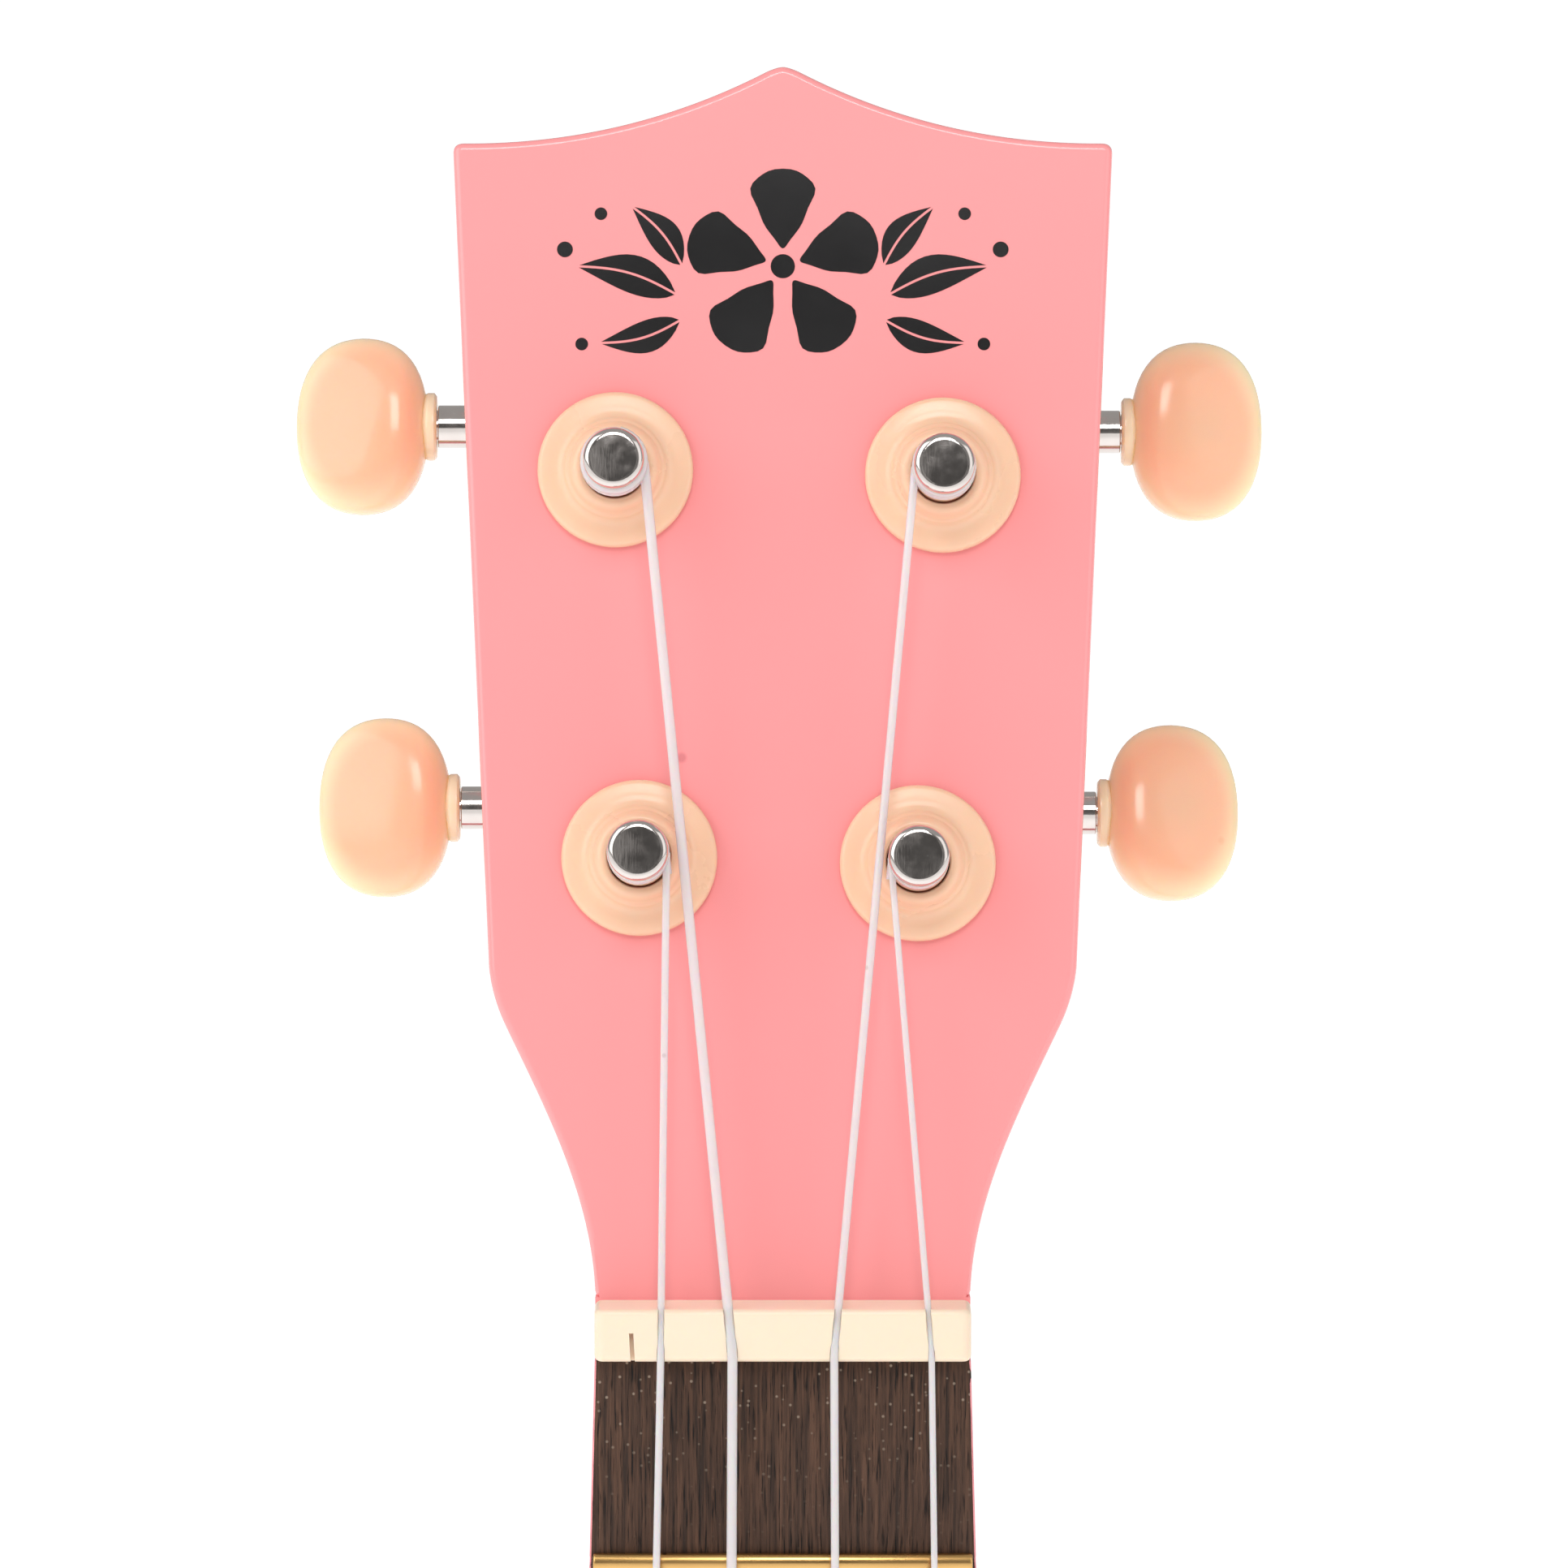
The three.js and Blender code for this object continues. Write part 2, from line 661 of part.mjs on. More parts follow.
function makePost() {
  const root = gearRadius - toothDepth - 0.3;
  const waistTop = postTop - capHeight;
  const pivot = postPivotRadius;
  const foot = headBack - housingDepth + 1;
  let post = solid(turned([
    [0, foot],
    [pivot, foot],
    [pivot, shaftZ - gearWidth / 2 - 0.4],
    [root, shaftZ - gearWidth / 2],
    [root, shaftZ + gearWidth / 2],
    [pivot, shaftZ + gearWidth / 2 + 0.6],
    [pivot, headBack - 0.6],
    [postRadius, headBack + 0.4],
    [postRadius, waistBottom - 0.4],
    [postWaistRadius, waistBottom],
    [postWaistRadius, waistTop - 0.3],
    [postRadius, waistTop],
    [postRadius, postTop - 0.5],
    [postRadius - 0.45, postTop],
    [0, postTop],
  ], 16));
  const lean = toothPitch / (2 * Math.PI * wormRadius);
  const twist = (lean * gearWidth) / 2 / gearRadius;
  const wheel = loft([
    wheelRing(twist, shaftZ - gearWidth / 2),
    wheelRing(-twist, shaftZ + gearWidth / 2),
  ]);
  post = post.add(solid(wheel));
  // the cross hole that takes the string's end
  return post.subtract(solid(crossBorer(0.6, -postRadius - 1, postRadius + 1, 8)
    .translate(0, 0, waistBottom + 1)));
}

// A threaded rod along x, cut off square at both ends. Its crest faces the wheel at x = 0.
function threadedRod(halfLength) {
  const sides = 12;
  const turns = 2 * Math.ceil(halfLength / toothPitch) + 2;
  const crest = { radius: wormRadius + toothHeight, half: toothThickness / 2 - toothHeight * flankSlope };
  const root = { radius: wormRadius - toothDepth, half: toothThickness / 2 + toothDepth * flankSlope };
  const profile = [[-root.half, root.radius], [-crest.half, crest.radius], [crest.half, crest.radius],
    [root.half, root.radius]];
  const last = turns * profile.length;
  // the thread advances one pitch a turn, so column `sides` is column 0 one thread further on
  const at = (index, side) => {
    const [offset, radius] = profile[index % profile.length];
    const turn = Math.floor(index / profile.length) - turns / 2 + side / sides;
    const angle = (2 * Math.PI * (side % sides)) / sides;
    const along = turn * toothPitch + offset;
    return new THREE.Vector3(along, -radius * Math.cos(angle), radius * Math.sin(angle));
  };
  const corners = [];
  const lowEnd = new THREE.Vector3(at(0, 0).x + toothPitch / 2, 0, 0);
  const highEnd = new THREE.Vector3(at(last, 0).x + toothPitch / 2, 0, 0);
  for (let side = 0; side < sides; side += 1) {
    for (let i = 0; i < last; i += 1) {
      corners.push(at(i, side), at(i + 1, side), at(i + 1, side + 1));
      corners.push(at(i, side), at(i + 1, side + 1), at(i, side + 1));
    }
    corners.push(lowEnd, at(0, side), at(0, side + 1));
    corners.push(highEnd, at(last, side + 1), at(last, side));
  }
  for (let i = 0; i < profile.length; i += 1) {
    corners.push(lowEnd, at(i + 1, 0), at(i, 0));
    corners.push(highEnd, at(last + i, 0), at(last + i + 1, 0));
  }
  const rod = solid(new THREE.BufferGeometry().setFromPoints(corners));
  return rod.intersect(solid(crossBorer(2 * wormRadius, -halfLength, halfLength, 12)));
}

// The shaft lies along x, shaftRise above the post's axis, and carries the worm and the button.
function makeWormShaft() {
  const inner = housingHalfWidth - housingWall;
  const threadEnd = inner - 0.6;
  const farEnd = -housingHalfWidth + 0.4;
  const shaft = turned([
    [0, farEnd],
    [farJournalRadius, farEnd],
    [farJournalRadius, -inner + 0.3],
    [wormRadius - toothDepth, -threadEnd + 0.2],
    [wormRadius - toothDepth, threadEnd - 0.2],
    [journalRadius, inner + 0.1],
    [journalRadius, housingHalfWidth + 0.3],
    [shaftRadius, housingHalfWidth + 0.3],
    [shaftRadius, buttonStart - glueGap],
    [shaftRadius - 0.5, buttonStart - glueGap],
    [shaftRadius - 0.5, buttonStart + buttonLength * 0.6],
    [0, buttonStart + buttonLength * 0.6],
  ], 12).rotateY(Math.PI / 2);
  return threadedRod(threadEnd).add(solid(shaft)).translate(0, shaftRise, shaftZ);
}

function makeHousing() {
  const front = headBack - glueGap;
  const back = headBack - housingDepth;
  const inner = housingHalfWidth - housingWall;
  const outline = roundedRectangle(-housingHalfWidth, housingHalfWidth, -housingBelow, housingAbove, 3, 3);
  const lugSide = new THREE.Shape();
  lugSide.absarc(0, -lugReach, lugRadius, Math.PI, 2 * Math.PI, false);
  lugSide.lineTo(lugRadius, -housingBelow + 2);
  lugSide.lineTo(-lugRadius, -housingBelow + 2);
  // the case is drawn deeper than it is and cut off flat where it meets the head
  let housing = solid(roundedPlate(outline, back, front + 3, 1.2, 1));
  const lug = plate(new THREE.Shape(lugSide.getPoints(6)), front - lugThickness, front + 3);
  housing = housing.add(solid(lug));
  housing = housing.subtract(solid(block(-20, 20, -20, 20, front, front + 10)));

  const gearRoom = gearRadius + toothHeight + caseGap;
  const wormRoom = wormRadius + toothHeight + caseGap;
  const cavity = roundedRectangle(-inner, inner, -gearRoom, shaftRise + wormRoom, 1.5, 2);
  housing = housing.subtract(solid(plate(cavity, back + housingWall - 0.3, front + 1)));
  const wide = crossBorer(journalRadius + slideGap, 0, housingHalfWidth + 1);
  wide.translate(0, shaftRise, shaftZ);
  const narrow = crossBorer(farJournalRadius + slideGap, -housingHalfWidth - 1, 0, 10);
  housing = housing.subtract(solid(wide)).subtract(solid(narrow.translate(0, shaftRise, shaftZ)));
  const pivotHole = borer(postPivotRadius + slideGap, back + 0.6, front, 12);
  const screwHole = borer(screwRadius + slideGap, back, front + 1, 10).translate(0, -lugReach, 0);
  return housing.subtract(solid(pivotHole)).subtract(solid(screwHole));
}

function makeTunerScrew() {
  const seat = headBack - lugThickness - 2 * glueGap;
  return turned([
    [0, seat - 1.4],
    [screwHeadRadius - 0.7, seat - 1.4],
    [screwHeadRadius, seat - 0.6],
    [screwHeadRadius, seat],
    [screwRadius, seat],
    [screwRadius, headBack + screwDepth - 2],
    [0, headBack + screwDepth],
  ], 10).translate(0, -lugReach, 0);
}

// An oval button with rounded rims and a short collar toward the head.
function makeButton(turn) {
  const oval = new THREE.Shape();
  const flat = buttonLength * 0.3;
  oval.absellipse(0, 0, buttonHeight / 2, buttonLength / 2, 0, 2 * Math.PI, false, 0);
  const outline = new THREE.Shape(oval.getPoints(10).slice(0, -1).map((point) => (
    // fuller than an ellipse toward its corners
    new THREE.Vector2(point.x * (1 + 0.05 * Math.abs(Math.sin(2 * Math.atan2(point.y, point.x)))), point.y)
  )));
  const body = roundedPlate(outline, -buttonThickness / 2, buttonThickness / 2, flat / 1.5, 2);
  // drawn with its height along x, so it is turned to lie with its length along the shaft
  body.rotateZ(Math.PI / 2).translate(buttonStart + buttonLength / 2, 0, 0);
  const collar = crossBorer(3.2, buttonStart, buttonStart + buttonLength / 2, 14);
  const stub = shaftRadius - 0.5;
  const bore = crossBorer(stub + glueGap, buttonStart - 1, buttonStart + buttonLength * 0.6 + 0.3);
  const button = geometryOf(solid(body).add(solid(collar)).subtract(solid(bore)));
  return button.rotateX(turn * degree).translate(0, shaftRise, shaftZ);
}

// ---- body pieces

function makeSides() {
  const hoop = bodyHoop(0, sideThickness, sidesBack, sidesFront);
  return hoop.subtract(neckScrewHole(-sideThickness - 2, 2, slideGap));
}

function makeBack() {
  return roundedPlate(bodyOutline, bodyBack, sidesBack - glueGap, plateRim, 1);
}

function makeLining(z0, z1) {
  return liningAt(z0, z1, 0).subtract(neckScrewHole(-30, 2, slideGap));
}

function makeSoundboard() {
  const outline = bodyOutline.clone();
  outline.holes.push(circleHole(0, soundholeY, soundholeRadius, 40));
  const groove = new THREE.Shape(circleHole(0, soundholeY, rosetteOuter + slotGap, 40).getPoints());
  groove.holes.push(circleHole(0, soundholeY, rosetteInner - slotGap, 40));
  const board = solid(roundedPlate(outline, bodyFront - soundboardThickness, bodyFront, plateRim, 1));
  return board.subtract(solid(plate(groove, bodyFront - rosetteDepth - glueGap, bodyFront + 1)));
}

function makeRosette() {
  const ring = new THREE.Shape(circleHole(0, soundholeY, rosetteOuter, 40).getPoints());
  ring.holes.push(circleHole(0, soundholeY, rosetteInner, 40));
  return plate(ring, bodyFront - rosetteDepth, bodyFront - glueGap);
}

// A block that fills the body from soundboard to back at one end.
function endBlock(y0, y1) {
  const half = blockWidth / 2;
  const blank = block(-half, half, y0, y1, sidesBack + glueGap, sidesFront - glueGap);
  const inside = bodySlab(sideThickness + glueGap, sidesBack, sidesFront);
  return solid(blank).intersect(inside).subtract(aroundLinings());
}

function makeNeckBlock() {
  const top = jointY - sideThickness;
  const blank = endBlock(top - blockLength, top);
  return blank.subtract(neckScrewHole(-sideThickness - blockLength - 5, 2, slideGap));
}

function makeTailBlock() {
  const bottom = jointY - bodyLength;
  return endBlock(bottom, bottom + sideThickness + tailLength);
}

// A long screw along the neck, its head against the neck block inside the body.
function makeNeckScrew() {
  const seat = -sideThickness - blockLength - 2 * glueGap;
  return turned([
    [0, seat - 3],
    [neckScrewHeadRadius * 0.6, seat - 3],
    [neckScrewHeadRadius, seat - 1.6],
    [neckScrewHeadRadius, seat],
    [neckScrewRadius, seat],
    [neckScrewRadius, neckScrewBite - 4],
    [0, neckScrewBite],
  ], 10).rotateX(-Math.PI / 2).translate(0, jointY, neckScrewZ);
}

// What lies under the soundboard stops short of the linings.
function underSoundboard(y, width, length, height) {
  const top = bodyFront - soundboardThickness - glueGap;
  const bar = block(-width / 2, width / 2, y - length / 2, y + length / 2, top - height, top);
  return solid(bar).intersect(bodySlab(liningInset + liningWidth + glueGap, top - height - 5, top + 5));
}

function makeBridge() {
  const foot = bodyFront + glueGap;
  const front = saddleY + bridgeAhead;
  const back = saddleY - bridgeBehind;
  const wings = roundedRectangle(-bridgeWidth / 2, bridgeWidth / 2, back, front, 3);
  const middle = roundedRectangle(-bridgeBlockWidth / 2, bridgeBlockWidth / 2, back, front, 3);
  let bridge = solid(plate(wings, foot, foot + bridgeWingHeight));
  bridge = bridge.add(solid(roundedPlate(middle, foot - 2, foot + bridgeHeight, 1)));
  bridge = bridge.subtract(solid(block(-bridgeWidth, bridgeWidth, back - 5, front + 5, foot - 5, foot)));
  const slotHalf = saddleThickness / 2 + glueGap;
  bridge = bridge.subtract(solid(block(
    -saddleLength / 2 - glueGap, saddleLength / 2 + glueGap,
    saddleY - slotHalf, saddleY + slotHalf, saddleFoot - glueGap, foot + 20,
  )));
  strings.forEach((string) => {
    const half = stringSlotWidth / 2;
    bridge = bridge.subtract(solid(block(
      string.saddleX - half, string.saddleX + half,
      back - 1, saddleY - 3, bodyFront + stringSlotFloor, foot + 20,
    )));
  });
  return bridge;
}

function makeSaddle() {
  const half = saddleThickness / 2;
  const side = new THREE.Shape();
  side.moveTo(-half, saddleFoot);
  side.lineTo(half, saddleFoot);
  side.lineTo(half, saddleTop - half * 0.7);
  side.quadraticCurveTo(half, saddleTop, 0, saddleTop);
  side.quadraticCurveTo(-half, saddleTop, -half, saddleTop - half * 0.7);
  const length = { depth: saddleLength, bevelEnabled: false, curveSegments: 3 };
  const bar = new THREE.ExtrudeGeometry(side, length);
  return bar.applyMatrix4(acrossNeck).translate(-saddleLength / 2, saddleY, 0);
}

// ---- the assembly

const neckAndBody = new THREE.Group();
addPiece(neckAndBody, 'neck', makeNeck(), 'paint');
addPiece(neckAndBody, 'fretboard', makeFretboard(), 'darkWood');
addPiece(neckAndBody, 'nut', makeNut(), 'cream');
for (let number = 1; number <= fretCount; number += 1) {
  addPiece(neckAndBody, `fret_${String(number).padStart(2, '0')}`, makeFret(number), 'brass');
}
dotFrets.forEach((number) => {
  const dot = turned([[0, -dotDepth], [dotRadius, -dotDepth], [dotRadius, 0], [0, 0]], 20);
  dot.translate(0, dotY(number), 0);
  addPiece(neckAndBody, `dot_fret_${String(number).padStart(2, '0')}`, dot, 'pearl');
});
addPiece(neckAndBody, 'soundboard', makeSoundboard(), 'paint');
addPiece(neckAndBody, 'rosette', makeRosette(), 'cream');
addPiece(neckAndBody, 'sides', makeSides(), 'paint');
addPiece(neckAndBody, 'back', makeBack(), 'paint');
const frontLining = makeLining(sidesFront - liningHeight, sidesFront - glueGap);
const backLining = makeLining(sidesBack + glueGap, sidesBack + liningHeight);
addPiece(neckAndBody, 'front_lining', frontLining, 'paleWood');
addPiece(neckAndBody, 'back_lining', backLining, 'paleWood');
addPiece(neckAndBody, 'neck_block', makeNeckBlock(), 'paleWood');
addPiece(neckAndBody, 'tail_block', makeTailBlock(), 'paleWood');
Object.entries({
  upper_brace: [upperBraceY, lowerBout, braceWidth, braceHeight],
  lower_brace: [lowerBraceY, lowerBout, braceWidth, braceHeight],
  bridge_plate: [bridgeMiddle, plateWidth, plateLength, plateThickness],
}).forEach(([name, sizes]) => {
  addPiece(neckAndBody, name, underSoundboard(...sizes), 'paleWood');
});
addPiece(neckAndBody, 'bridge', makeBridge(), 'darkWood');
addPiece(neckAndBody, 'saddle', makeSaddle(), 'cream');
addPiece(neckAndBody, 'neck_screw', makeNeckScrew(), 'steel');
strings.forEach((string) => {
  addPiece(neckAndBody, `string_${string.name}`, makeString(string), 'nylon');
});

// The head's own frame: z = 0 on its face, y = 0 at the nut's back edge.
const head = new THREE.Group();
head.position.set(0, nutThickness, -boardThickness);
head.rotation.x = -headAngle * degree;
neckAndBody.add(head);

tuners.forEach((tuner) => {
  const place = new THREE.Group();
  place.position.set(tuner.x, tuner.y, 0);
  head.add(place);
  const handed = (shape) => {
    const geometry = shape.isBufferGeometry ? shape : geometryOf(shape);
    return tuner.side > 0 ? geometry : mirrored(geometry);
  };
  addPiece(place, `bushing_${tuner.name}`, makeBushing(), 'cream');
  addPiece(place, `post_${tuner.name}`, handed(makePost()), 'chrome');
  addPiece(place, `worm_shaft_${tuner.name}`, handed(makeWormShaft()), 'chrome');
  addPiece(place, `button_${tuner.name}`, handed(makeButton(tuner.buttonTurn)), 'cream');
  addPiece(place, `housing_${tuner.name}`, handed(makeHousing()), 'cream');
  addPiece(place, `tuner_screw_${tuner.name}`, makeTunerScrew(), 'steel');
});

const ukulele = new THREE.Group();
neckAndBody.rotation.x = Math.PI / 2;
ukulele.add(neckAndBody);

export default ukulele;
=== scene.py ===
import math

import bpy
from mathutils import Matrix, Vector


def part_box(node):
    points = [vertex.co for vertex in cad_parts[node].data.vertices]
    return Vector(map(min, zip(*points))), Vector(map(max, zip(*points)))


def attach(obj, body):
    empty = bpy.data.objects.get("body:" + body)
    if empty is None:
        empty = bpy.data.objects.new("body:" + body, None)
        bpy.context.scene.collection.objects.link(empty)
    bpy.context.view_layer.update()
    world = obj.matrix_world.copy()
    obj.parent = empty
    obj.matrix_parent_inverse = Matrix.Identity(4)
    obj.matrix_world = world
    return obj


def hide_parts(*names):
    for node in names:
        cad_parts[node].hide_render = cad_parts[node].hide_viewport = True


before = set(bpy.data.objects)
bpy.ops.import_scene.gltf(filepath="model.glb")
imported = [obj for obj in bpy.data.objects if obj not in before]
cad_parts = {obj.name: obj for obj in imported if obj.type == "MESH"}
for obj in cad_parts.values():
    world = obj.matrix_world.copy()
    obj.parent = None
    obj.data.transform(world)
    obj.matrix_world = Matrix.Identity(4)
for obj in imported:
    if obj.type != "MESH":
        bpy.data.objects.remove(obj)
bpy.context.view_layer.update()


mm = 0.001

# Pieces are drawn in millimetres and settled into the frame, which is in metres.
# boardPlace: x across, y up the neck from the nut's front edge, z out of the fretboard.
# headPlace: the same from the nut's back edge, leaning back with the head.
headSizes = {
    "tilt": math.radians(13), "nutThickness": 5.2, "boardThickness": 3.5, "thickness": 12,
    "screwBelow": 9.8,      # from a post down to the screw of its case
}
boardPlace = Matrix.Scale(mm, 4) @ Matrix.Rotation(math.pi / 2, 4, "X")
headPlace = (
    boardPlace
    @ Matrix.Translation((0, headSizes["nutThickness"], -headSizes["boardThickness"]))
    @ Matrix.Rotation(-headSizes["tilt"], 4, "X")
)
tuners = [
    {"name": "g", "x": -13.5, "y": 41.3, "side": -1, "buttonTurn": -2},
    {"name": "c", "x": -15.8, "y": 78.0, "side": -1, "buttonTurn": -7},
    {"name": "e", "x": 15.1, "y": 77.5, "side": 1, "buttonTurn": 0},
    {"name": "a", "x": 12.7, "y": 40.8, "side": 1, "buttonTurn": -11},
]
strings = [
    {"name": "g", "radius": 0.35, "nutX": -11.4, "saddleX": -19},
    {"name": "c", "radius": 0.48, "nutX": -4.7, "saddleX": -6.4},
    {"name": "e", "radius": 0.39, "nutX": 4.8, "saddleX": 6.4},
    {"name": "a", "radius": 0.31, "nutX": 13.9, "saddleX": 19},
]

def only(*chosen):
    if bpy.context.mode != "OBJECT":
        bpy.ops.object.mode_set(mode="OBJECT")
    bpy.ops.object.select_all(action="DESELECT")
    for piece in chosen:
        piece.select_set(True)
    if chosen:
        bpy.context.view_layer.objects.active = chosen[0]


def editAll(piece, kind="FACE"):
    only(piece)
    bpy.ops.object.mode_set(mode="EDIT")
    bpy.ops.mesh.select_mode(type=kind)
    bpy.ops.mesh.select_all(action="SELECT")


def closeUp(piece, gap=0.001):
    editAll(piece, "VERT")
    bpy.ops.mesh.remove_doubles(threshold=gap)
    bpy.ops.mesh.normals_make_consistent(inside=False)
    only(piece)


def useModifier(piece, kind, **settings):
    only(piece)
    modifier = piece.modifiers.new(kind, kind)
    for key, value in settings.items():
        setattr(modifier, key, value)
    bpy.ops.object.modifier_apply(modifier=modifier.name)


def combine(piece, other, how="DIFFERENCE"):
    useModifier(piece, "BOOLEAN", object=other, operation=how, solver="EXACT")
    bpy.data.objects.remove(other)
    return piece


def roundEdges(piece, width, segments=3, above=40):
    useModifier(
        piece, "BEVEL", width=width, segments=segments, limit_method="ANGLE",
        angle_limit=math.radians(above), use_clamp_overlap=True,
    )
    return piece


# Lets the broad flat faces keep their own normals beside their rounded edges.
def flatFacesFirst(piece):
    useModifier(piece, "WEIGHTED_NORMAL", weight=100, keep_sharp=True)
    return piece


def addPiece(name, data):
    piece = bpy.data.objects.new(name, data)
    bpy.context.collection.objects.link(piece)
    return piece


def copyOf(piece):
    twin = addPiece(piece.name, piece.data.copy())
    twin.matrix_basis = piece.matrix_basis
    return twin


def joined(first, *others):
    only(first, *others)
    bpy.ops.object.join()
    return first


# Moves a drawn piece, with its place in its mesh.
def movePiece(piece, place=Matrix.Identity(4)):
    piece.data.transform(place @ piece.matrix_basis)
    piece.matrix_basis = Matrix.Identity(4)
    return piece


def smoothBy(piece, angle=35):
    only(piece)
    bpy.ops.object.shade_smooth_by_angle(angle=math.radians(angle))
    return piece


# Puts a drawn piece where it belongs in the frame.
def settle(piece, place, smooth=35):
    movePiece(piece, place)
    if place.determinant() < 0:
        piece.data.flip_normals()
    return smoothBy(piece, smooth)


def install(piece, name, finish, stands=(), body="root"):
    piece.name = piece.data.name = name
    piece.data.materials.clear()
    piece.data.materials.append(finish)
    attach(piece, body)
    if stands:
        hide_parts(*stands)
    return piece


# A turned solid about z: a disc extruded and resized along the outline of radius and height.
# A bored one starts and ends its outline at the same ring of the bore.
def turnedPiece(name, outline, sides=48, bored=False):
    only()
    radius, height = outline[0]
    bpy.ops.mesh.primitive_circle_add(
        vertices=sides, radius=radius, fill_type="NGON", location=(0, 0, height)
    )
    piece = bpy.context.object
    piece.name = name
    editAll(piece)
    for nextRadius, nextHeight in outline[1:]:
        bpy.ops.mesh.extrude_region_move(
            TRANSFORM_OT_translate={"value": (0, 0, nextHeight - height)}
        )
        grow = nextRadius / radius
        bpy.ops.transform.resize(value=(grow, grow, 1), center_override=(0, 0, nextHeight))
        radius, height = nextRadius, nextHeight
    if bored:
        bpy.ops.mesh.select_all(action="DESELECT")
        bpy.ops.mesh.select_face_by_sides(number=sides, type="EQUAL")
        bpy.ops.mesh.delete(type="FACE")
    closeUp(piece)
    return piece


# A line of straight stretches, or the round rod along it, as a mesh.
def curvePiece(name, points, closed, **settings):
    curve = bpy.data.curves.new(name, "CURVE")
    curve.dimensions = "3D"
    spline = curve.splines.new("POLY")
    spline.points.add(len(points) - 1)
    for point, place in zip(spline.points, points):
        point.co = (*place, 1)
    spline.use_cyclic_u = closed
    for key, value in settings.items():
        setattr(curve, key, value)
    only(addPiece(name, curve))
    bpy.ops.object.convert(target="MESH")
    return bpy.context.object


# A flat outline filled with one face and extruded from the low to the high level.
def cutPiece(name, outline, low, high):
    piece = curvePiece(name, [(x, y, low) for x, y in outline], True)
    editAll(piece, "EDGE")
    bpy.ops.mesh.edge_face_add()
    bpy.ops.mesh.select_mode(type="FACE")
    bpy.ops.mesh.select_all(action="SELECT")
    bpy.ops.mesh.extrude_region_move(TRANSFORM_OT_translate={"value": (0, 0, high - low)})
    closeUp(piece)
    return piece


def boxPiece(name, low, high):
    only()
    middle = (Vector(low) + Vector(high)) / 2
    size = Vector(high) - Vector(low)
    bpy.ops.mesh.primitive_cube_add(size=1, location=middle, scale=size)
    piece = bpy.context.object
    piece.name = name
    return piece

# A round rod along a path of points, with closed ends.
def rodPiece(name, points, radius, closed=False, roundness=4):
    piece = curvePiece(
        name, points, closed, bevel_depth=radius, bevel_resolution=roundness, use_fill_caps=True
    )
    closeUp(piece)
    return piece


# A merged copy of a CAD node, with its flat faces made whole and its edges eased.
def finerCopy(node, ease=0.0, smooth=35, segments=2, above=40):
    piece = addPiece(node + "Copy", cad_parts[node].data.copy())
    editAll(piece, "VERT")
    bpy.ops.mesh.remove_doubles(threshold=0.00001)
    bpy.ops.mesh.dissolve_limited(angle_limit=math.radians(1))
    if ease:
        roundEdges(piece, ease * mm, segments, above)
    return smoothBy(piece, smooth)


def bezierPoints(start, first, second, end, steps):
    points = []
    for step in range(1, steps + 1):
        t = step / steps
        s = 1 - t
        points.append(tuple(
            s ** 3 * a + 3 * s * s * t * b + 3 * s * t * t * c + t ** 3 * d
            for a, b, c, d in zip(start, first, second, end)
        ))
    return points


def bothHalves(rightHalf):
    left = [(-x, y) for x, y in reversed(rightHalf) if abs(x) > 0.001]
    return rightHalf + left


def roundedBox(x0, x1, y0, y1, radius, steps=6):
    points = []
    for cornerX, cornerY, start in (
        (x1 - radius, y1 - radius, 0), (x0 + radius, y1 - radius, 90),
        (x0 + radius, y0 + radius, 180), (x1 - radius, y0 + radius, 270),
    ):
        for step in range(steps + 1):
            angle = math.radians(start + 90 * step / steps)
            points.append((cornerX + radius * math.cos(angle), cornerY + radius * math.sin(angle)))
    return points


# Sets a socket to a value, or links it to another socket or to a node's first output.
def feed(tree, socket, value):
    if isinstance(value, bpy.types.Node):
        value = next(output for output in value.outputs if not output.is_unavailable)
    if isinstance(value, bpy.types.NodeSocket):
        tree.links.new(value, socket)
    else:
        socket.default_value = value


def newNode(tree, kind, inputs=(), **settings):
    node = tree.nodes.new("ShaderNode" + kind)
    for key, value in settings.items():
        setattr(node, key, value)
    for name, value in dict(inputs).items():
        feed(tree, node.inputs[name], value)
    return node


def mixColours(tree, share, first, second):
    return newNode(tree, "Mix", {"Factor": share, "A": first, "B": second}, data_type="RGBA")


def mapRange(tree, value, low, high, toLow=0.0, toHigh=1.0, **settings):
    limits = {"From Min": low, "From Max": high, "To Min": toLow, "To Max": toHigh}
    return newNode(tree, "MapRange", {"Value": value, **limits}, **settings)


def arithmetic(tree, operation, *values):
    return newNode(tree, "Math", dict(enumerate(values)), operation=operation)


def noise(tree, place, scale, detail=2.0, roughness=0.5):
    inputs = {"Vector": place, "Scale": scale, "Detail": detail, "Roughness": roughness}
    return newNode(tree, "TexNoise", inputs)


def objectPlace(tree):
    return newNode(tree, "TexCoord").outputs["Object"]


cameraSizes = {"place": (0.000114, -0.93322, 0.19558), "downTilt": math.radians(8.6), "lens": 233.66}
studio = {
    "worldStrength": 0.42, "backdropStrength": 1.08,
    "darkFront": 0.26, "darkTilt": math.radians(17), "darkEdge": (0.80, 0.97), "darkShapes": 9.0,
    "lampsAim": (0, 0, 0.04), "lampDistance": 1.0,
    "lamps": [      # name, azimuth, elevation, power, width, height
        ("leftLamp", -60, 32, 4.6, 0.9, 0.9), ("rightLamp", 60, 24, 1.7, 0.8, 0.8),
        ("frontLamp", 0, 40, 2.6, 0.3, 0.34),
    ],
    "floorHeight": -0.46, "floorGlow": 0.7,
}


def newFinish(name):
    finish = bpy.data.materials.new(name)
    finish.use_nodes = True
    return finish, finish.node_tree.nodes["Principled BSDF"]


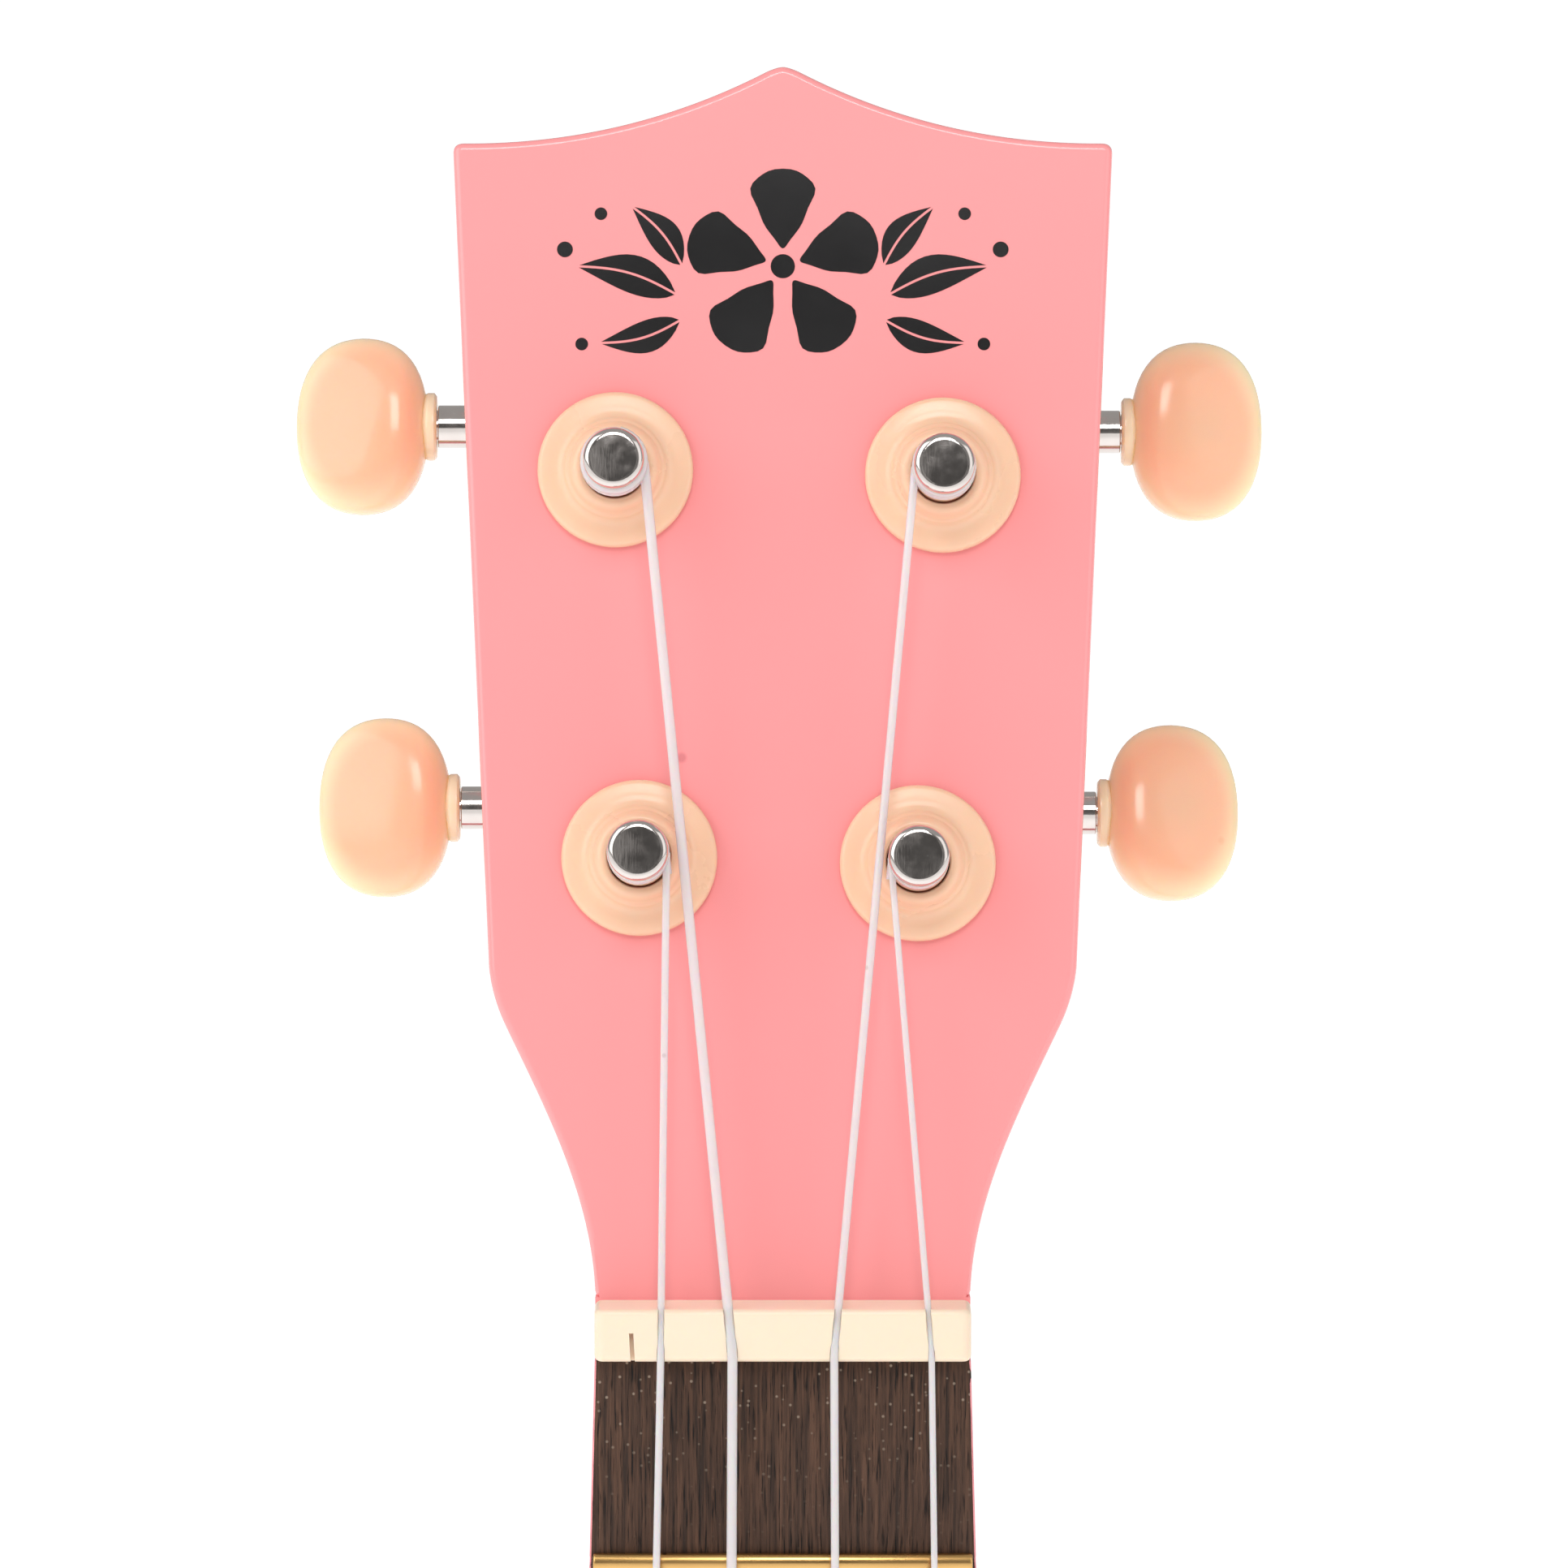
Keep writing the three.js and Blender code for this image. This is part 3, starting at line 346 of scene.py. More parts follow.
def setSockets(shader, **values):
    for name, value in values.items():
        shader.inputs[name.replace("_", " ")].default_value = value


def makeCamera():
    camera = addPiece("viewCamera", bpy.data.cameras.new("viewCamera"))
    camera.location = cameraSizes["place"]
    camera.rotation_euler = (math.pi / 2 - cameraSizes["downTilt"], 0, 0)
    camera.data.lens = cameraSizes["lens"]
    camera.data.sensor_width = 36
    camera.data.clip_start, camera.data.clip_end = 0.05, 60
    bpy.context.scene.camera = camera


def makeLamp(name, azimuth, elevation, power, width, height):
    light = bpy.data.lights.new(name, "AREA")
    light.shape = "RECTANGLE"
    light.size, light.size_y = width, height
    light.energy = power
    lamp = addPiece(name, light)
    a, e = math.radians(azimuth), math.radians(elevation)
    away = Vector((math.sin(a) * math.cos(e), -math.cos(a) * math.cos(e), math.sin(e)))
    lamp.location = Vector(studio["lampsAim"]) + away * studio["lampDistance"]
    lamp.rotation_euler = away.to_track_quat("Z", "Y").to_euler()


# A pale room with a darker, uneven patch in front, and a plain backdrop for the camera alone.
def makeWorld():
    world = bpy.data.worlds.new("softRoom")
    bpy.context.scene.world = world
    world.use_nodes = True
    tree = world.node_tree
    tree.nodes.clear()
    dark, tilt, (outerEdge, innerEdge) = studio["darkFront"], studio["darkTilt"], studio["darkEdge"]
    direction = newNode(tree, "TexCoord").outputs["Generated"]
    ahead = (0, -math.cos(tilt), math.sin(tilt))
    front = newNode(tree, "VectorMath", {0: direction, 1: ahead}, operation="DOT_PRODUCT")
    shapes = noise(tree, direction, studio["darkShapes"])
    shade = mapRange(tree, shapes, 0.42, 0.58, dark * 0.35, dark * 1.3)
    glow = mapRange(
        tree, front, outerEdge, innerEdge, studio["worldStrength"], shade, interpolation_type="SMOOTHSTEP"
    )
    room = newNode(tree, "Background", {"Color": (1.0, 0.985, 0.965, 1), "Strength": glow})
    backdrop = newNode(
        tree, "Background", {"Color": (1, 1, 1, 1), "Strength": studio["backdropStrength"]}
    )
    seen = newNode(tree, "LightPath").outputs["Is Camera Ray"]
    mix = newNode(tree, "MixShader", {"Fac": seen, 1: room, 2: backdrop})
    newNode(tree, "OutputWorld", {"Surface": mix})


def makeFloor():
    only()
    bpy.ops.mesh.primitive_plane_add(size=60, location=(0, 0, studio["floorHeight"]))
    floor = bpy.context.object
    floor.name = "paleFloor"
    finish, shader = newFinish("paleFloor")
    setSockets(
        shader, Base_Color=(0.92, 0.92, 0.92, 1), Roughness=0.9,
        Emission_Color=(1, 1, 1, 1), Emission_Strength=studio["floorGlow"],
    )
    floor.data.materials.append(finish)


makeCamera()
makeWorld()
for lampFacts in studio["lamps"]:
    makeLamp(*lampFacts)
makeFloor()
bpy.context.scene.view_settings.view_transform = "Standard"
print("camera, lamps and floor are set")


# Starts a node group, its inputs numbers or colours by the values given, which are their defaults.
def startGroup(name, **values):
    group = bpy.data.node_groups.new(name, "ShaderNodeTree")
    for key, value in values.items():
        kind = "NodeSocketFloat" if isinstance(value, float) else "NodeSocketColor"
        made = group.interface.new_socket(
            name=key.replace("_", " "), in_out="INPUT", socket_type=kind
        )
        made.default_value = value
    return group, group.nodes.new("NodeGroupInput").outputs


def endGroup(group, **results):
    for name in results:
        kind = "NodeSocketColor" if name == "Color" else "NodeSocketFloat"
        group.interface.new_socket(name=name, in_out="OUTPUT", socket_type=kind)
    end = group.nodes.new("NodeGroupOutput")
    for name, result in results.items():
        feed(group, end.inputs[name], result)
    return group


def colour(red, green, blue):
    linear = []
    for share in (red / 255, green / 255, blue / 255):
        linear.append(share / 12.92 if share <= 10 / 255 else ((share + 0.055) / 1.055) ** 2.4)
    return (*linear, 1)


# Slow drift between two colours, with scattered small specks of a third.
def makeToneGroup():
    group, given = startGroup(
        "toneDrift", Base=(0.8, 0.8, 0.8, 1), Second=(0.7, 0.7, 0.7, 1), Speck=(0.2, 0.1, 0.1, 1),
        Drift_Scale=30.0, Speck_Scale=900.0, Speck_Amount=0.05,
    )
    place = objectPlace(group)
    drift = noise(group, place, given["Drift Scale"], 3)
    tone = mixColours(group, drift, given["Base"], given["Second"])
    cells = newNode(group, "TexVoronoi", {"Vector": place, "Scale": given["Speck Scale"]})
    chance = newNode(group, "SeparateColor", {"Color": cells.outputs["Color"]})
    near = mapRange(group, cells.outputs["Distance"], 0.26, 0.12)
    rare = arithmetic(group, "LESS_THAN", chance.outputs["Red"], given["Speck Amount"])
    specks = arithmetic(group, "MULTIPLY", near, rare)
    return endGroup(group, Color=mixColours(group, specks, tone, given["Speck"]), Specks=specks)


# Straight wood grain along z: a stretched noise for streaks and short dark pores.
def makeGrainGroup():
    group, given = startGroup(
        "straightGrain", Light=(0.5, 0.4, 0.3, 1), Dark=(0.2, 0.1, 0.1, 1),
        Pore=(0.05, 0.03, 0.03, 1), Across=900.0, Along=40.0, Pore_Amount=0.5,
    )
    place = objectPlace(group)
    across, along = given["Across"], given["Along"]
    stretch = newNode(group, "CombineXYZ", {"X": across, "Y": across, "Z": along})
    streakPlace = newNode(group, "VectorMath", {0: place, 1: stretch}, operation="MULTIPLY")
    streakShare = mapRange(group, noise(group, streakPlace, 1.0, 5, 0.62), 0.38, 0.62)
    porePlace = newNode(group, "VectorMath", {0: streakPlace, 1: (2.6, 2.6, 4.2)}, operation="MULTIPLY")
    pores = mapRange(group, noise(group, porePlace, 1.0, 3), 0.56, 0.68)
    poreShare = arithmetic(group, "MULTIPLY", pores, given["Pore Amount"])
    wood = mixColours(group, streakShare, given["Dark"], given["Light"])
    height = arithmetic(group, "SUBTRACT", streakShare, poreShare)
    return endGroup(group, Color=mixColours(group, poreShare, wood, given["Pore"]), Height=height)


# Faint ripple and fine rubbing, as a height and a roughness.
def makeSurfaceGroup():
    group, given = startGroup(
        "surfaceRipple", Ripple_Scale=300.0, Rub_Scale=60.0, Rough_Low=0.2, Rough_High=0.3
    )
    place = objectPlace(group)
    ripple = noise(group, place, given["Ripple Scale"], 2)
    rub = noise(group, place, given["Rub Scale"], 6)
    rough = mapRange(group, rub, 0.3, 0.7, given["Rough Low"], given["Rough High"])
    return endGroup(group, Height=ripple, Roughness=rough)


toneGroup, grainGroup, surfaceGroup = makeToneGroup(), makeGrainGroup(), makeSurfaceGroup()


def placeGroup(finish, group, **values):
    inputs = {key.replace("_", " "): value for key, value in values.items()}
    return newNode(finish.node_tree, "Group", inputs, node_tree=group)


def placeTone(finish, tones, drift, specks):
    base, second, speck = (colour(*tone) for tone in tones)
    return placeGroup(
        finish, toneGroup, Base=base, Second=second, Speck=speck,
        Drift_Scale=drift, Speck_Scale=specks[0], Speck_Amount=specks[1],
    )


def placeGrain(finish, tones, scales, poreAmount):
    light, dark, pore = (colour(*tone) for tone in tones)
    return placeGroup(
        finish, grainGroup, Light=light, Dark=dark, Pore=pore,
        Across=scales[0], Along=scales[1], Pore_Amount=poreAmount,
    )


def dress(finish, paint, roughness, height, bumpDepth):
    tree = finish.node_tree
    shader = tree.nodes["Principled BSDF"]
    bump = newNode(tree, "Bump", {"Height": height, "Distance": bumpDepth, "Strength": 1.0})
    feed(tree, shader.inputs["Base Color"], paint)
    feed(tree, shader.inputs["Roughness"], roughness)
    feed(tree, shader.inputs["Normal"], bump)


# Lays a colour over a finish's own, as far as the share goes.
def layOver(finish, share, over):
    tree = finish.node_tree
    baseColour = tree.nodes["Principled BSDF"].inputs["Base Color"]
    under = baseColour.links[0].from_socket
    feed(tree, baseColour, mixColours(tree, share, under, over))


# A moulded or sprayed surface: drifting tone, a few specks, slight ripple, uneven polish.
def smoothFinish(name, tones, ripple, rough, specks=(700.0, 0.02), drift=30.0, **sockets):
    finish, shader = newFinish(name)
    surface = placeGroup(
        finish, surfaceGroup, Ripple_Scale=ripple[0], Rough_Low=rough[0], Rough_High=rough[1]
    ).outputs
    dress(finish, placeTone(finish, tones, drift, specks), surface["Roughness"], surface["Height"], ripple[1])
    setSockets(shader, **sockets)
    return finish


def woodFinish(name, tones, scales, poreAmount, rough, bump):
    finish, shader = newFinish(name)
    setSockets(shader, Specular_IOR_Level=0.3)
    surface = placeGroup(finish, surfaceGroup, Rough_Low=rough[0], Rough_High=rough[1])
    grain = placeGrain(finish, tones, scales, poreAmount)
    dress(finish, grain, surface.outputs["Roughness"], grain.outputs["Height"], bump)
    return finish


pinkTones = ((255, 160, 161), (254, 158, 160), (232, 138, 142))
paleTones = ((222, 190, 148), (196, 158, 114), (150, 112, 78))
paleGrain = {"scales": (420.0, 16.0), "poreAmount": 0.4}
neckPaint = smoothFinish(
    "pinkNeckLacquer", pinkTones, ripple=(170.0, 0.000004), rough=(0.13, 0.16),
    specks=(420.0, 0.004), drift=14.0, Coat_Weight=0.25, Coat_Roughness=0.05, Specular_IOR_Level=0.4,
)
bodyPaint = smoothFinish(
    "pinkBodyLacquer", pinkTones, ripple=(130.0, 0.000005), rough=(0.13, 0.17),
    specks=(420.0, 0.003), drift=9.0, Coat_Weight=0.3, Coat_Roughness=0.1, Specular_IOR_Level=0.4,
)
nutCream = smoothFinish(
    "creamNutPlastic", ((248, 227, 203), (245, 222, 196), (214, 186, 150)),
    ripple=(260.0, 0.00002), rough=(0.26, 0.4), specks=(500.0, 0.012), drift=60.0,
    Subsurface_Weight=0.2, Subsurface_Scale=0.002,
)
fittingCream = smoothFinish(
    "peachBushingPlastic", ((250, 206, 174), (247, 199, 167), (205, 150, 112)),
    ripple=(300.0, 0.00002), rough=(0.2, 0.32), specks=(400.0, 0.01), drift=70.0,
    Subsurface_Weight=0.25, Subsurface_Scale=0.002,
)
pearlShell = smoothFinish(
    "pearlDots", ((244, 242, 238), (206, 214, 222), (232, 214, 220)),
    ripple=(900.0, 0.00001), rough=(0.12, 0.25), specks=(900.0, 0.2), drift=420.0, Coat_Weight=0.6,
)
fretBrass = smoothFinish(
    "fretBrass", ((222, 181, 116), (205, 160, 98), (140, 100, 60)),
    ripple=(1200.0, 0.000004), rough=(0.2, 0.34), specks=(900.0, 0.03), drift=160.0, Metallic=1.0,
)
screwSteel = smoothFinish(
    "screwSteel", ((196, 194, 192), (176, 174, 172), (110, 104, 100)),
    ripple=(1400.0, 0.000004), rough=(0.22, 0.38), specks=(900.0, 0.03), drift=300.0, Metallic=1.0,
)
printInk = smoothFinish(
    "blackInk", ((9, 8, 9), (15, 13, 14), (48, 42, 44)),
    ripple=(700.0, 0.000004), rough=(0.18, 0.24), specks=(500.0, 0.02), drift=90.0,
)
nylon = smoothFinish(      # clear and milky, with a slight drawn ripple
    "milkyNylon", ((250, 244, 245), (243, 236, 238), (226, 214, 214)),
    ripple=(500.0, 0.00001), rough=(0.16, 0.26), specks=(900.0, 0.02), drift=120.0,
    Transmission_Weight=0.3, IOR=1.5, Subsurface_Weight=0.3, Subsurface_Scale=0.001,
)
darkWood = woodFinish(
    "dyedDarkWood", ((92, 64, 50), (44, 31, 25), (14, 10, 9)),
    scales=(1600.0, 50.0), poreAmount=0.9, rough=(0.5, 0.68), bump=0.00009,
)
paleWood = woodFinish("paleInnerWood", paleTones, rough=(0.6, 0.8), bump=0.00006, **paleGrain)


# Where a painted piece's "bare" attribute is set it shows unfinished wood instead.
def addBareInside(finish):
    bare = newNode(finish.node_tree, "Attribute", attribute_name="bare").outputs["Fac"]
    layOver(finish, bare, placeGrain(finish, paleTones, **paleGrain))


addBareInside(bodyPaint)


# Button plastic: peach at its thick heart, with a painted glow towards the thin rim: a lighter, yellower
# colour standing in for light soaking through the thin edge.
def makeButtonFinish():
    finish = smoothFinish(
        "peachButtonPlastic", ((254, 196, 162), (252, 190, 155), (246, 180, 143)),
        ripple=(260.0, 0.00002), rough=(0.13, 0.22), specks=(500.0, 0.004), drift=80.0,
        Subsurface_Weight=0.65, Subsurface_Scale=0.0035, Subsurface_Radius=(1.0, 0.72, 0.42),
    )
    # painted glow: the "rim" mask lays a lighter, yellower colour over the thin edge, in place of light
    # shining through it
    rim = newNode(finish.node_tree, "Attribute", attribute_name="rim").outputs["Fac"]
    layOver(finish, rim, colour(255, 227, 190))
    return finish


# Bright plating with faint scratches that run every way, and a dull bloom in places.
def makeChromeFinish():
    finish, shader = newFinish("brightPlating")
    tree = finish.node_tree
    setSockets(shader, Metallic=1.0)
    along = {"Rotation": (0.3, 0.9, 0.5), "Scale": (5200.0, 420.0, 700.0)}
    scratches = noise(tree, newNode(tree, "Mapping", {"Vector": objectPlace(tree), **along}), 1.0, 4)
    surface = placeGroup(
        finish, surfaceGroup, Ripple_Scale=420.0, Rub_Scale=900.0, Rough_Low=0.05, Rough_High=0.16
    ).outputs
    tones = ((222, 216, 212), (206, 198, 194), (250, 246, 240))
    height = arithmetic(tree, "MULTIPLY_ADD", scratches, 0.35, surface["Height"])
    dress(finish, placeTone(finish, tones, 420.0, (2600.0, 0.03)), surface["Roughness"], height, 0.00001)
    return finish


boardEdge = {      # lengths in metres
    "halfAtNut": 0.0176, "taper": 4.9 / 173, "chipScale": 330.0, "chipIn": 0.0001, "chipOut": 0.00016,
    "dustFrom": -0.014, "dustFull": 0.001, "leastDust": 0.05, "mostDust": 0.8,
}


# Dark wood, dusty near the nut, whose painted sides meet its face in a slightly chipped line.
def makeBoardFinish():
    finish = woodFinish(
        "boardWoodAndPaint", ((93, 66, 51), (48, 34, 27), (12, 9, 8)),
        scales=(1900.0, 60.0), poreAmount=0.95, rough=(0.5, 0.68), bump=0.0001,
    )
    tree = finish.node_tree
    place = objectPlace(tree)
    along = newNode(tree, "SeparateXYZ", {"Vector": place}).outputs
    dust = placeTone(finish, ((0, 0, 0), (0, 0, 0), (255, 255, 255)), 30.0, (1500.0, 0.3))
    nearNut = mapRange(
        tree, along["Z"], boardEdge["dustFrom"], boardEdge["dustFull"],
        boardEdge["leastDust"], boardEdge["mostDust"],
    )
    dustShare = arithmetic(tree, "MULTIPLY", dust.outputs["Specks"], nearNut)
    layOver(finish, dustShare, colour(176, 158, 140))
    fromMiddle = arithmetic(tree, "ABSOLUTE", along["X"])
    straightened = arithmetic(tree, "MULTIPLY_ADD", along["Z"], boardEdge["taper"], fromMiddle)
    chips = noise(tree, place, boardEdge["chipScale"], 4)
    chipDepth = mapRange(tree, chips, 0.60, 0.70, boardEdge["chipOut"], -boardEdge["chipIn"])
    chipped = arithmetic(tree, "ADD", straightened, chipDepth)
    painted = arithmetic(tree, "GREATER_THAN", chipped, boardEdge["halfAtNut"])
    layOver(finish, painted, colour(250, 160, 166))
    return finish


# Printed rings round the sound hole: bands of ink by distance from its centre.
def makeRingFinish(centre, inner, outer):
    finish = smoothFinish(
        "printedRing", ((248, 238, 220), (243, 231, 210), (210, 190, 160)),
        ripple=(500.0, 0.00001), rough=(0.25, 0.38), specks=(500.0, 0.02), drift=60.0,
    )
    tree = finish.node_tree
    place = objectPlace(tree)
    fromCentre = newNode(tree, "VectorMath", {0: place, 1: centre}, operation="DISTANCE")
    bands = newNode(tree, "ValToRGB", {"Fac": mapRange(tree, fromCentre, inner, outer)})
    ramp = bands.color_ramp
    ramp.interpolation = "CONSTANT"
    ramp.elements[0].color = (1, 1, 1, 1)
    ramp.elements.remove(ramp.elements[1])
    for position, ink in ((0.14, 0), (0.30, 1), (0.40, 0), (0.62, 1), (0.72, 0), (0.86, 1)):
        ramp.elements.new(position).color = (ink, ink, ink, 1)
    layOver(finish, bands, colour(44, 36, 38))
    return finish


buttonPlastic, chrome, boardWood = makeButtonFinish(), makeChromeFinish(), makeBoardFinish()
print("finishes are mixed")


neckSizes = {
    "nutWidth": 35.2, "widthAtJoint": 45.0, "depthAtNut": 14.0, "depthAtHeel": 16.0, "heelDepth": 44.0,
    "heelLength": 34.0, "jointY": -173.0, "stations": 46, "sides": 72,
    "headTop": 109.2, "headTip": 116.5, "topWidth": 62.4, "lowWidth": 55.3, "flareTop": 31.0,
    "edgeRound": 0.7, "sectionPowers": (0.8, 0.85),
}


def boardHalfWidth(y):
    widening = neckSizes["widthAtJoint"] - neckSizes["nutWidth"]
    return (neckSizes["nutWidth"] + widening * y / neckSizes["jointY"]) / 2


def neckDepth(y):
    share = y / neckSizes["jointY"]
    shaft = neckSizes["depthAtNut"] + (neckSizes["depthAtHeel"] - neckSizes["depthAtNut"]) * share
    heel = max(0.0, 1 - (y - neckSizes["jointY"]) / neckSizes["heelLength"])
    return shaft + (neckSizes["heelDepth"] - shaft) * heel ** 2.2


def headOutline():
    half = neckSizes["nutWidth"] / 2
    low, top = neckSizes["lowWidth"] / 2, neckSizes["topWidth"] / 2
    flare, headTop, tip = neckSizes["flareTop"], neckSizes["headTop"], neckSizes["headTip"]

    def quad(start, control, end, steps):
        first = tuple(a + (b - a) * 2 / 3 for a, b in zip(start, control))
        second = tuple(a + (b - a) * 2 / 3 for a, b in zip(end, control))
        return bezierPoints(start, first, second, end, steps)

    points = [(half, 0.0)]
    points += bezierPoints(
        points[-1], (half + 0.2, flare * 0.3), (low - 5.2, flare * 0.58), (low - 1.6, flare - 5.5), 28
    )
    points += quad(points[-1], (low - 0.3, flare - 2.8), (low, flare), 10)
    points += [(top, headTop - 1)]
    points += quad(points[-1], (top, headTop), (top - 1, headTop), 8)
    points += quad(points[-1], (top - 16.3, headTop - 0.1), (1.5, tip - 0.45), 30)
    points += quad(points[-1], (0.5, tip), (0, tip), 5)
    return bothHalves(points)


# A half-round bar drawn along z from a disc cut flat, its stations given as (z, halfWidth, depth),
# and where it turns from round to square also as the two powers that fill out its section.
def halfRoundBar(name, stations, flatAt):
    only()
    bpy.ops.mesh.primitive_circle_add(vertices=neckSizes["sides"], radius=1, fill_type="NGON")
    bar = bpy.context.object
    bar.name = name
    editAll(bar)
    bpy.ops.mesh.bisect(plane_co=(0, 0.0001, 0), plane_no=(0, 1, 0), use_fill=False, clear_inner=True)
    bpy.ops.mesh.select_all(action="SELECT")
    height = 0
    for station in stations[1:]:
        rise = station[0] - stations[0][0] - height
        bpy.ops.mesh.extrude_region_move(TRANSFORM_OT_translate={"value": (0, 0, rise)})
        height += rise
    only(bar)
    for vertex in bar.data.vertices:      # each ring takes its station's size and fullness
        level = vertex.co.z + stations[0][0]
        z, width, depth, *powers = min(stations, key=lambda station: abs(station[0] - level))
        acrossPower, depthPower = powers or neckSizes["sectionPowers"]
        x, y = vertex.co.x, vertex.co.y
        vertex.co.x = math.copysign(abs(x) ** acrossPower, x) * width
        vertex.co.y = flatAt + (y ** depthPower if y > 0.001 else 0) * depth
        vertex.co.z = z
    closeUp(bar)
    return bar


def drilled(piece, holes):
    for x, y, radius, low, high in holes:
        drill = turnedPiece("drill", [(radius, low), (radius, high)], 32)
        combine(piece, movePiece(drill, Matrix.Translation((x, y, 0))))
    return piece


def makeNeck():
    top = neckSizes["jointY"]
    count = neckSizes["stations"]
    reach = headSizes["nutThickness"] - top
    levels = [top + reach * (step / count) ** 1.35 for step in range(count + 1)]
    stations = [(y, boardHalfWidth(min(y, 0)), neckDepth(min(y, 0))) for y in levels]
    # drawn with y backwards and z up the neck, so only its scale changes
    shaft = halfRoundBar("neckShaft", stations, headSizes["boardThickness"])
    settle(shaft, Matrix.Scale(mm, 4))

    thickness, half = headSizes["thickness"], neckSizes["nutWidth"] / 2
    swell = [
        (-4, -1.5, 0.2), (0, -0.4, 1.2), (4, 0.05, 1.6), (9, 0.15, 1.3),
        (14, 0.5, 0.8), (19, 0.9, 0.3), (24, 0.9, -0.15), (28, 0.5, -0.7),
    ]
    throat = halfRoundBar("neckThroat", [(y, half + wide, thickness + deep) for y, wide, deep in swell], 0.02)
    settle(throat, headPlace @ Matrix.Rotation(-math.pi / 2, 4, "X"))

    head = cutPiece("headBlank", headOutline(), -thickness, 0)
    roundEdges(head, neckSizes["edgeRound"], 3, 50)
    # the head's square sides ease into the round neck: its lower corners are cut to this tapering shape
    corners = halfRoundBar("cornerShape", [
        (-9, 17.8, 17.2, 0.8, 0.85), (0, 17.8, 17.2, 0.8, 0.85), (4, 18.1, 16.6, 0.74, 0.78),
        (8, 18.9, 15.8, 0.64, 0.66), (12, 20.6, 15.2, 0.52, 0.52), (16, 23.0, 14.9, 0.38, 0.38),
        (20, 25.8, 15.0, 0.25, 0.25), (25, 29.0, 15.6, 0.12, 0.12), (32, 33.0, 18.0, 0.06, 0.06),
        (125, 40.0, 18.0, 0.06, 0.06),
    ], -2)
    combine(head, movePiece(corners, Matrix.Rotation(-math.pi / 2, 4, "X")), "INTERSECT")
    holes = [(t["x"], t["y"], 4.12, -thickness - 5, 5) for t in tuners]
    below = headSizes["screwBelow"]
    holes += [(t["x"], t["y"] - below, 0.95, -thickness - 5, -thickness + 8.2) for t in tuners]
    drilled(head, holes)
    settle(head, headPlace)
    combine(head, throat, "UNION")
    combine(head, shaft, "UNION")
    flatFacesFirst(smoothBy(head, 32))
    install(head, "paintedNeck", neckPaint, ["neck"])


makeNeck()
print("neck and head are shaped")


nutSizes = {
    "above": 2.0, "endRound": 0.9, "edgeRound": 0.55, "groovePlay": 0.03, "grooveFloor": 1.55,
    "slitX": -14.05, "slitWidth": 0.4,
}


def headToBoard(x, y, z):
    return boardPlace.inverted() @ headPlace @ Vector((x, y, z))


def windingStart(string):
    tuner = next(t for t in tuners if t["name"] == string["name"])
    inward = tuner["x"] - tuner["side"] * (2.2 + string["radius"] + 0.1)
    return headToBoard(inward, tuner["y"], 7.4)


def makeNut():
    half = neckSizes["nutWidth"] / 2
    bottom = -headSizes["boardThickness"] + 0.1
    outline = roundedBox(-half, half, bottom, nutSizes["above"], nutSizes["endRound"])
    nut = cutPiece("nutBlank", outline, -headSizes["nutThickness"] + 0.1, -0.1)
    roundEdges(nut, nutSizes["edgeRound"], 4, 50)
    movePiece(nut, Matrix.Rotation(math.pi / 2, 4, "X"))
    for string in strings:
        bend = Vector((string["nutX"], 1, nutSizes["grooveFloor"] + string["radius"]))
        post = windingStart(string)
        radius = string["radius"] + nutSizes["groovePlay"]
        straight = (post - bend).normalized()
        over = Vector((0, 0, 1))
        path = [bend - Vector((0, 6, 0)), bend, bend + straight * 9]
        for lift in (0, 0.5, 1.0):        # the groove stays open above the string
            cutter = rodPiece("grooveCutter", [p + over * lift for p in path], radius, roundness=5)
            combine(nut, cutter)
    left, right = (nutSizes["slitX"] + side * nutSizes["slitWidth"] / 2 for side in (-1, 1))
    slit = boxPiece("slitCutter", (left, -1, 0.9), (right, 2.9, 4))
    slit.rotation_euler = (0, 0, math.radians(3))
    combine(nut, slit)
    flatFacesFirst(settle(nut, boardPlace))
    install(nut, "creamNut", nutCream, ["nut"])


def makeBoardAndFrets():
    board = finerCopy("fretboard", 0.18)
    install(board, "darkFretboard", boardWood, ["fretboard"])
    for number in range(1, 13):
        node = f"fret_{number:02d}"
        wire = finerCopy(node, 0.22, 50, 3, 60)
        install(wire, f"fretWire{number:02d}", fretBrass, [node])
    for number in (5, 7, 10):
        node = f"dot_fret_{number:02d}"
        low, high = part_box(node)
        middle = (Vector(low) + Vector(high)) / 2
        dot = turnedPiece("dot", [(3.0, -1.2), (3.0, -0.12), (2.88, 0.0)], 56)
        deeper = Matrix.Scale((high[1] - low[1]) / mm / 1.2, 4, Vector((0, 0, 1)))
        place = boardPlace @ Matrix.Translation((middle.x / mm, middle.z / mm, -low[1] / mm))
        settle(dot, place @ deeper)
        install(dot, f"pearlDot{number:02d}", pearlShell, [node])


makeNut()
makeBoardAndFrets()
print("nut, fretboard and frets are fitted")


bushingSizes = {"bore": 2.97, "sleeve": 4.0, "flange": 7.35}
postSizes = {"radius": 2.85, "waist": 2.2, "top": 11.5, "cap": 1.7, "waistBottom": 5.4}
buttonSizes = {
    "start": 17.4, "length": 13.5, "height": 17.2, "thickness": 8.0, "collar": 3.25, "collarLength": 1.3,
}
shaftPlace = Matrix.Translation((0, 6.0, -16.6))      # from a post to its worm shaft


def tunerPlace(tuner, handed=True):
    place = headPlace @ Matrix.Translation((tuner["x"], tuner["y"], 0))
    if handed and tuner["side"] < 0:
        place = place @ Matrix.Scale(-1, 4, Vector((1, 0, 0)))
    return place


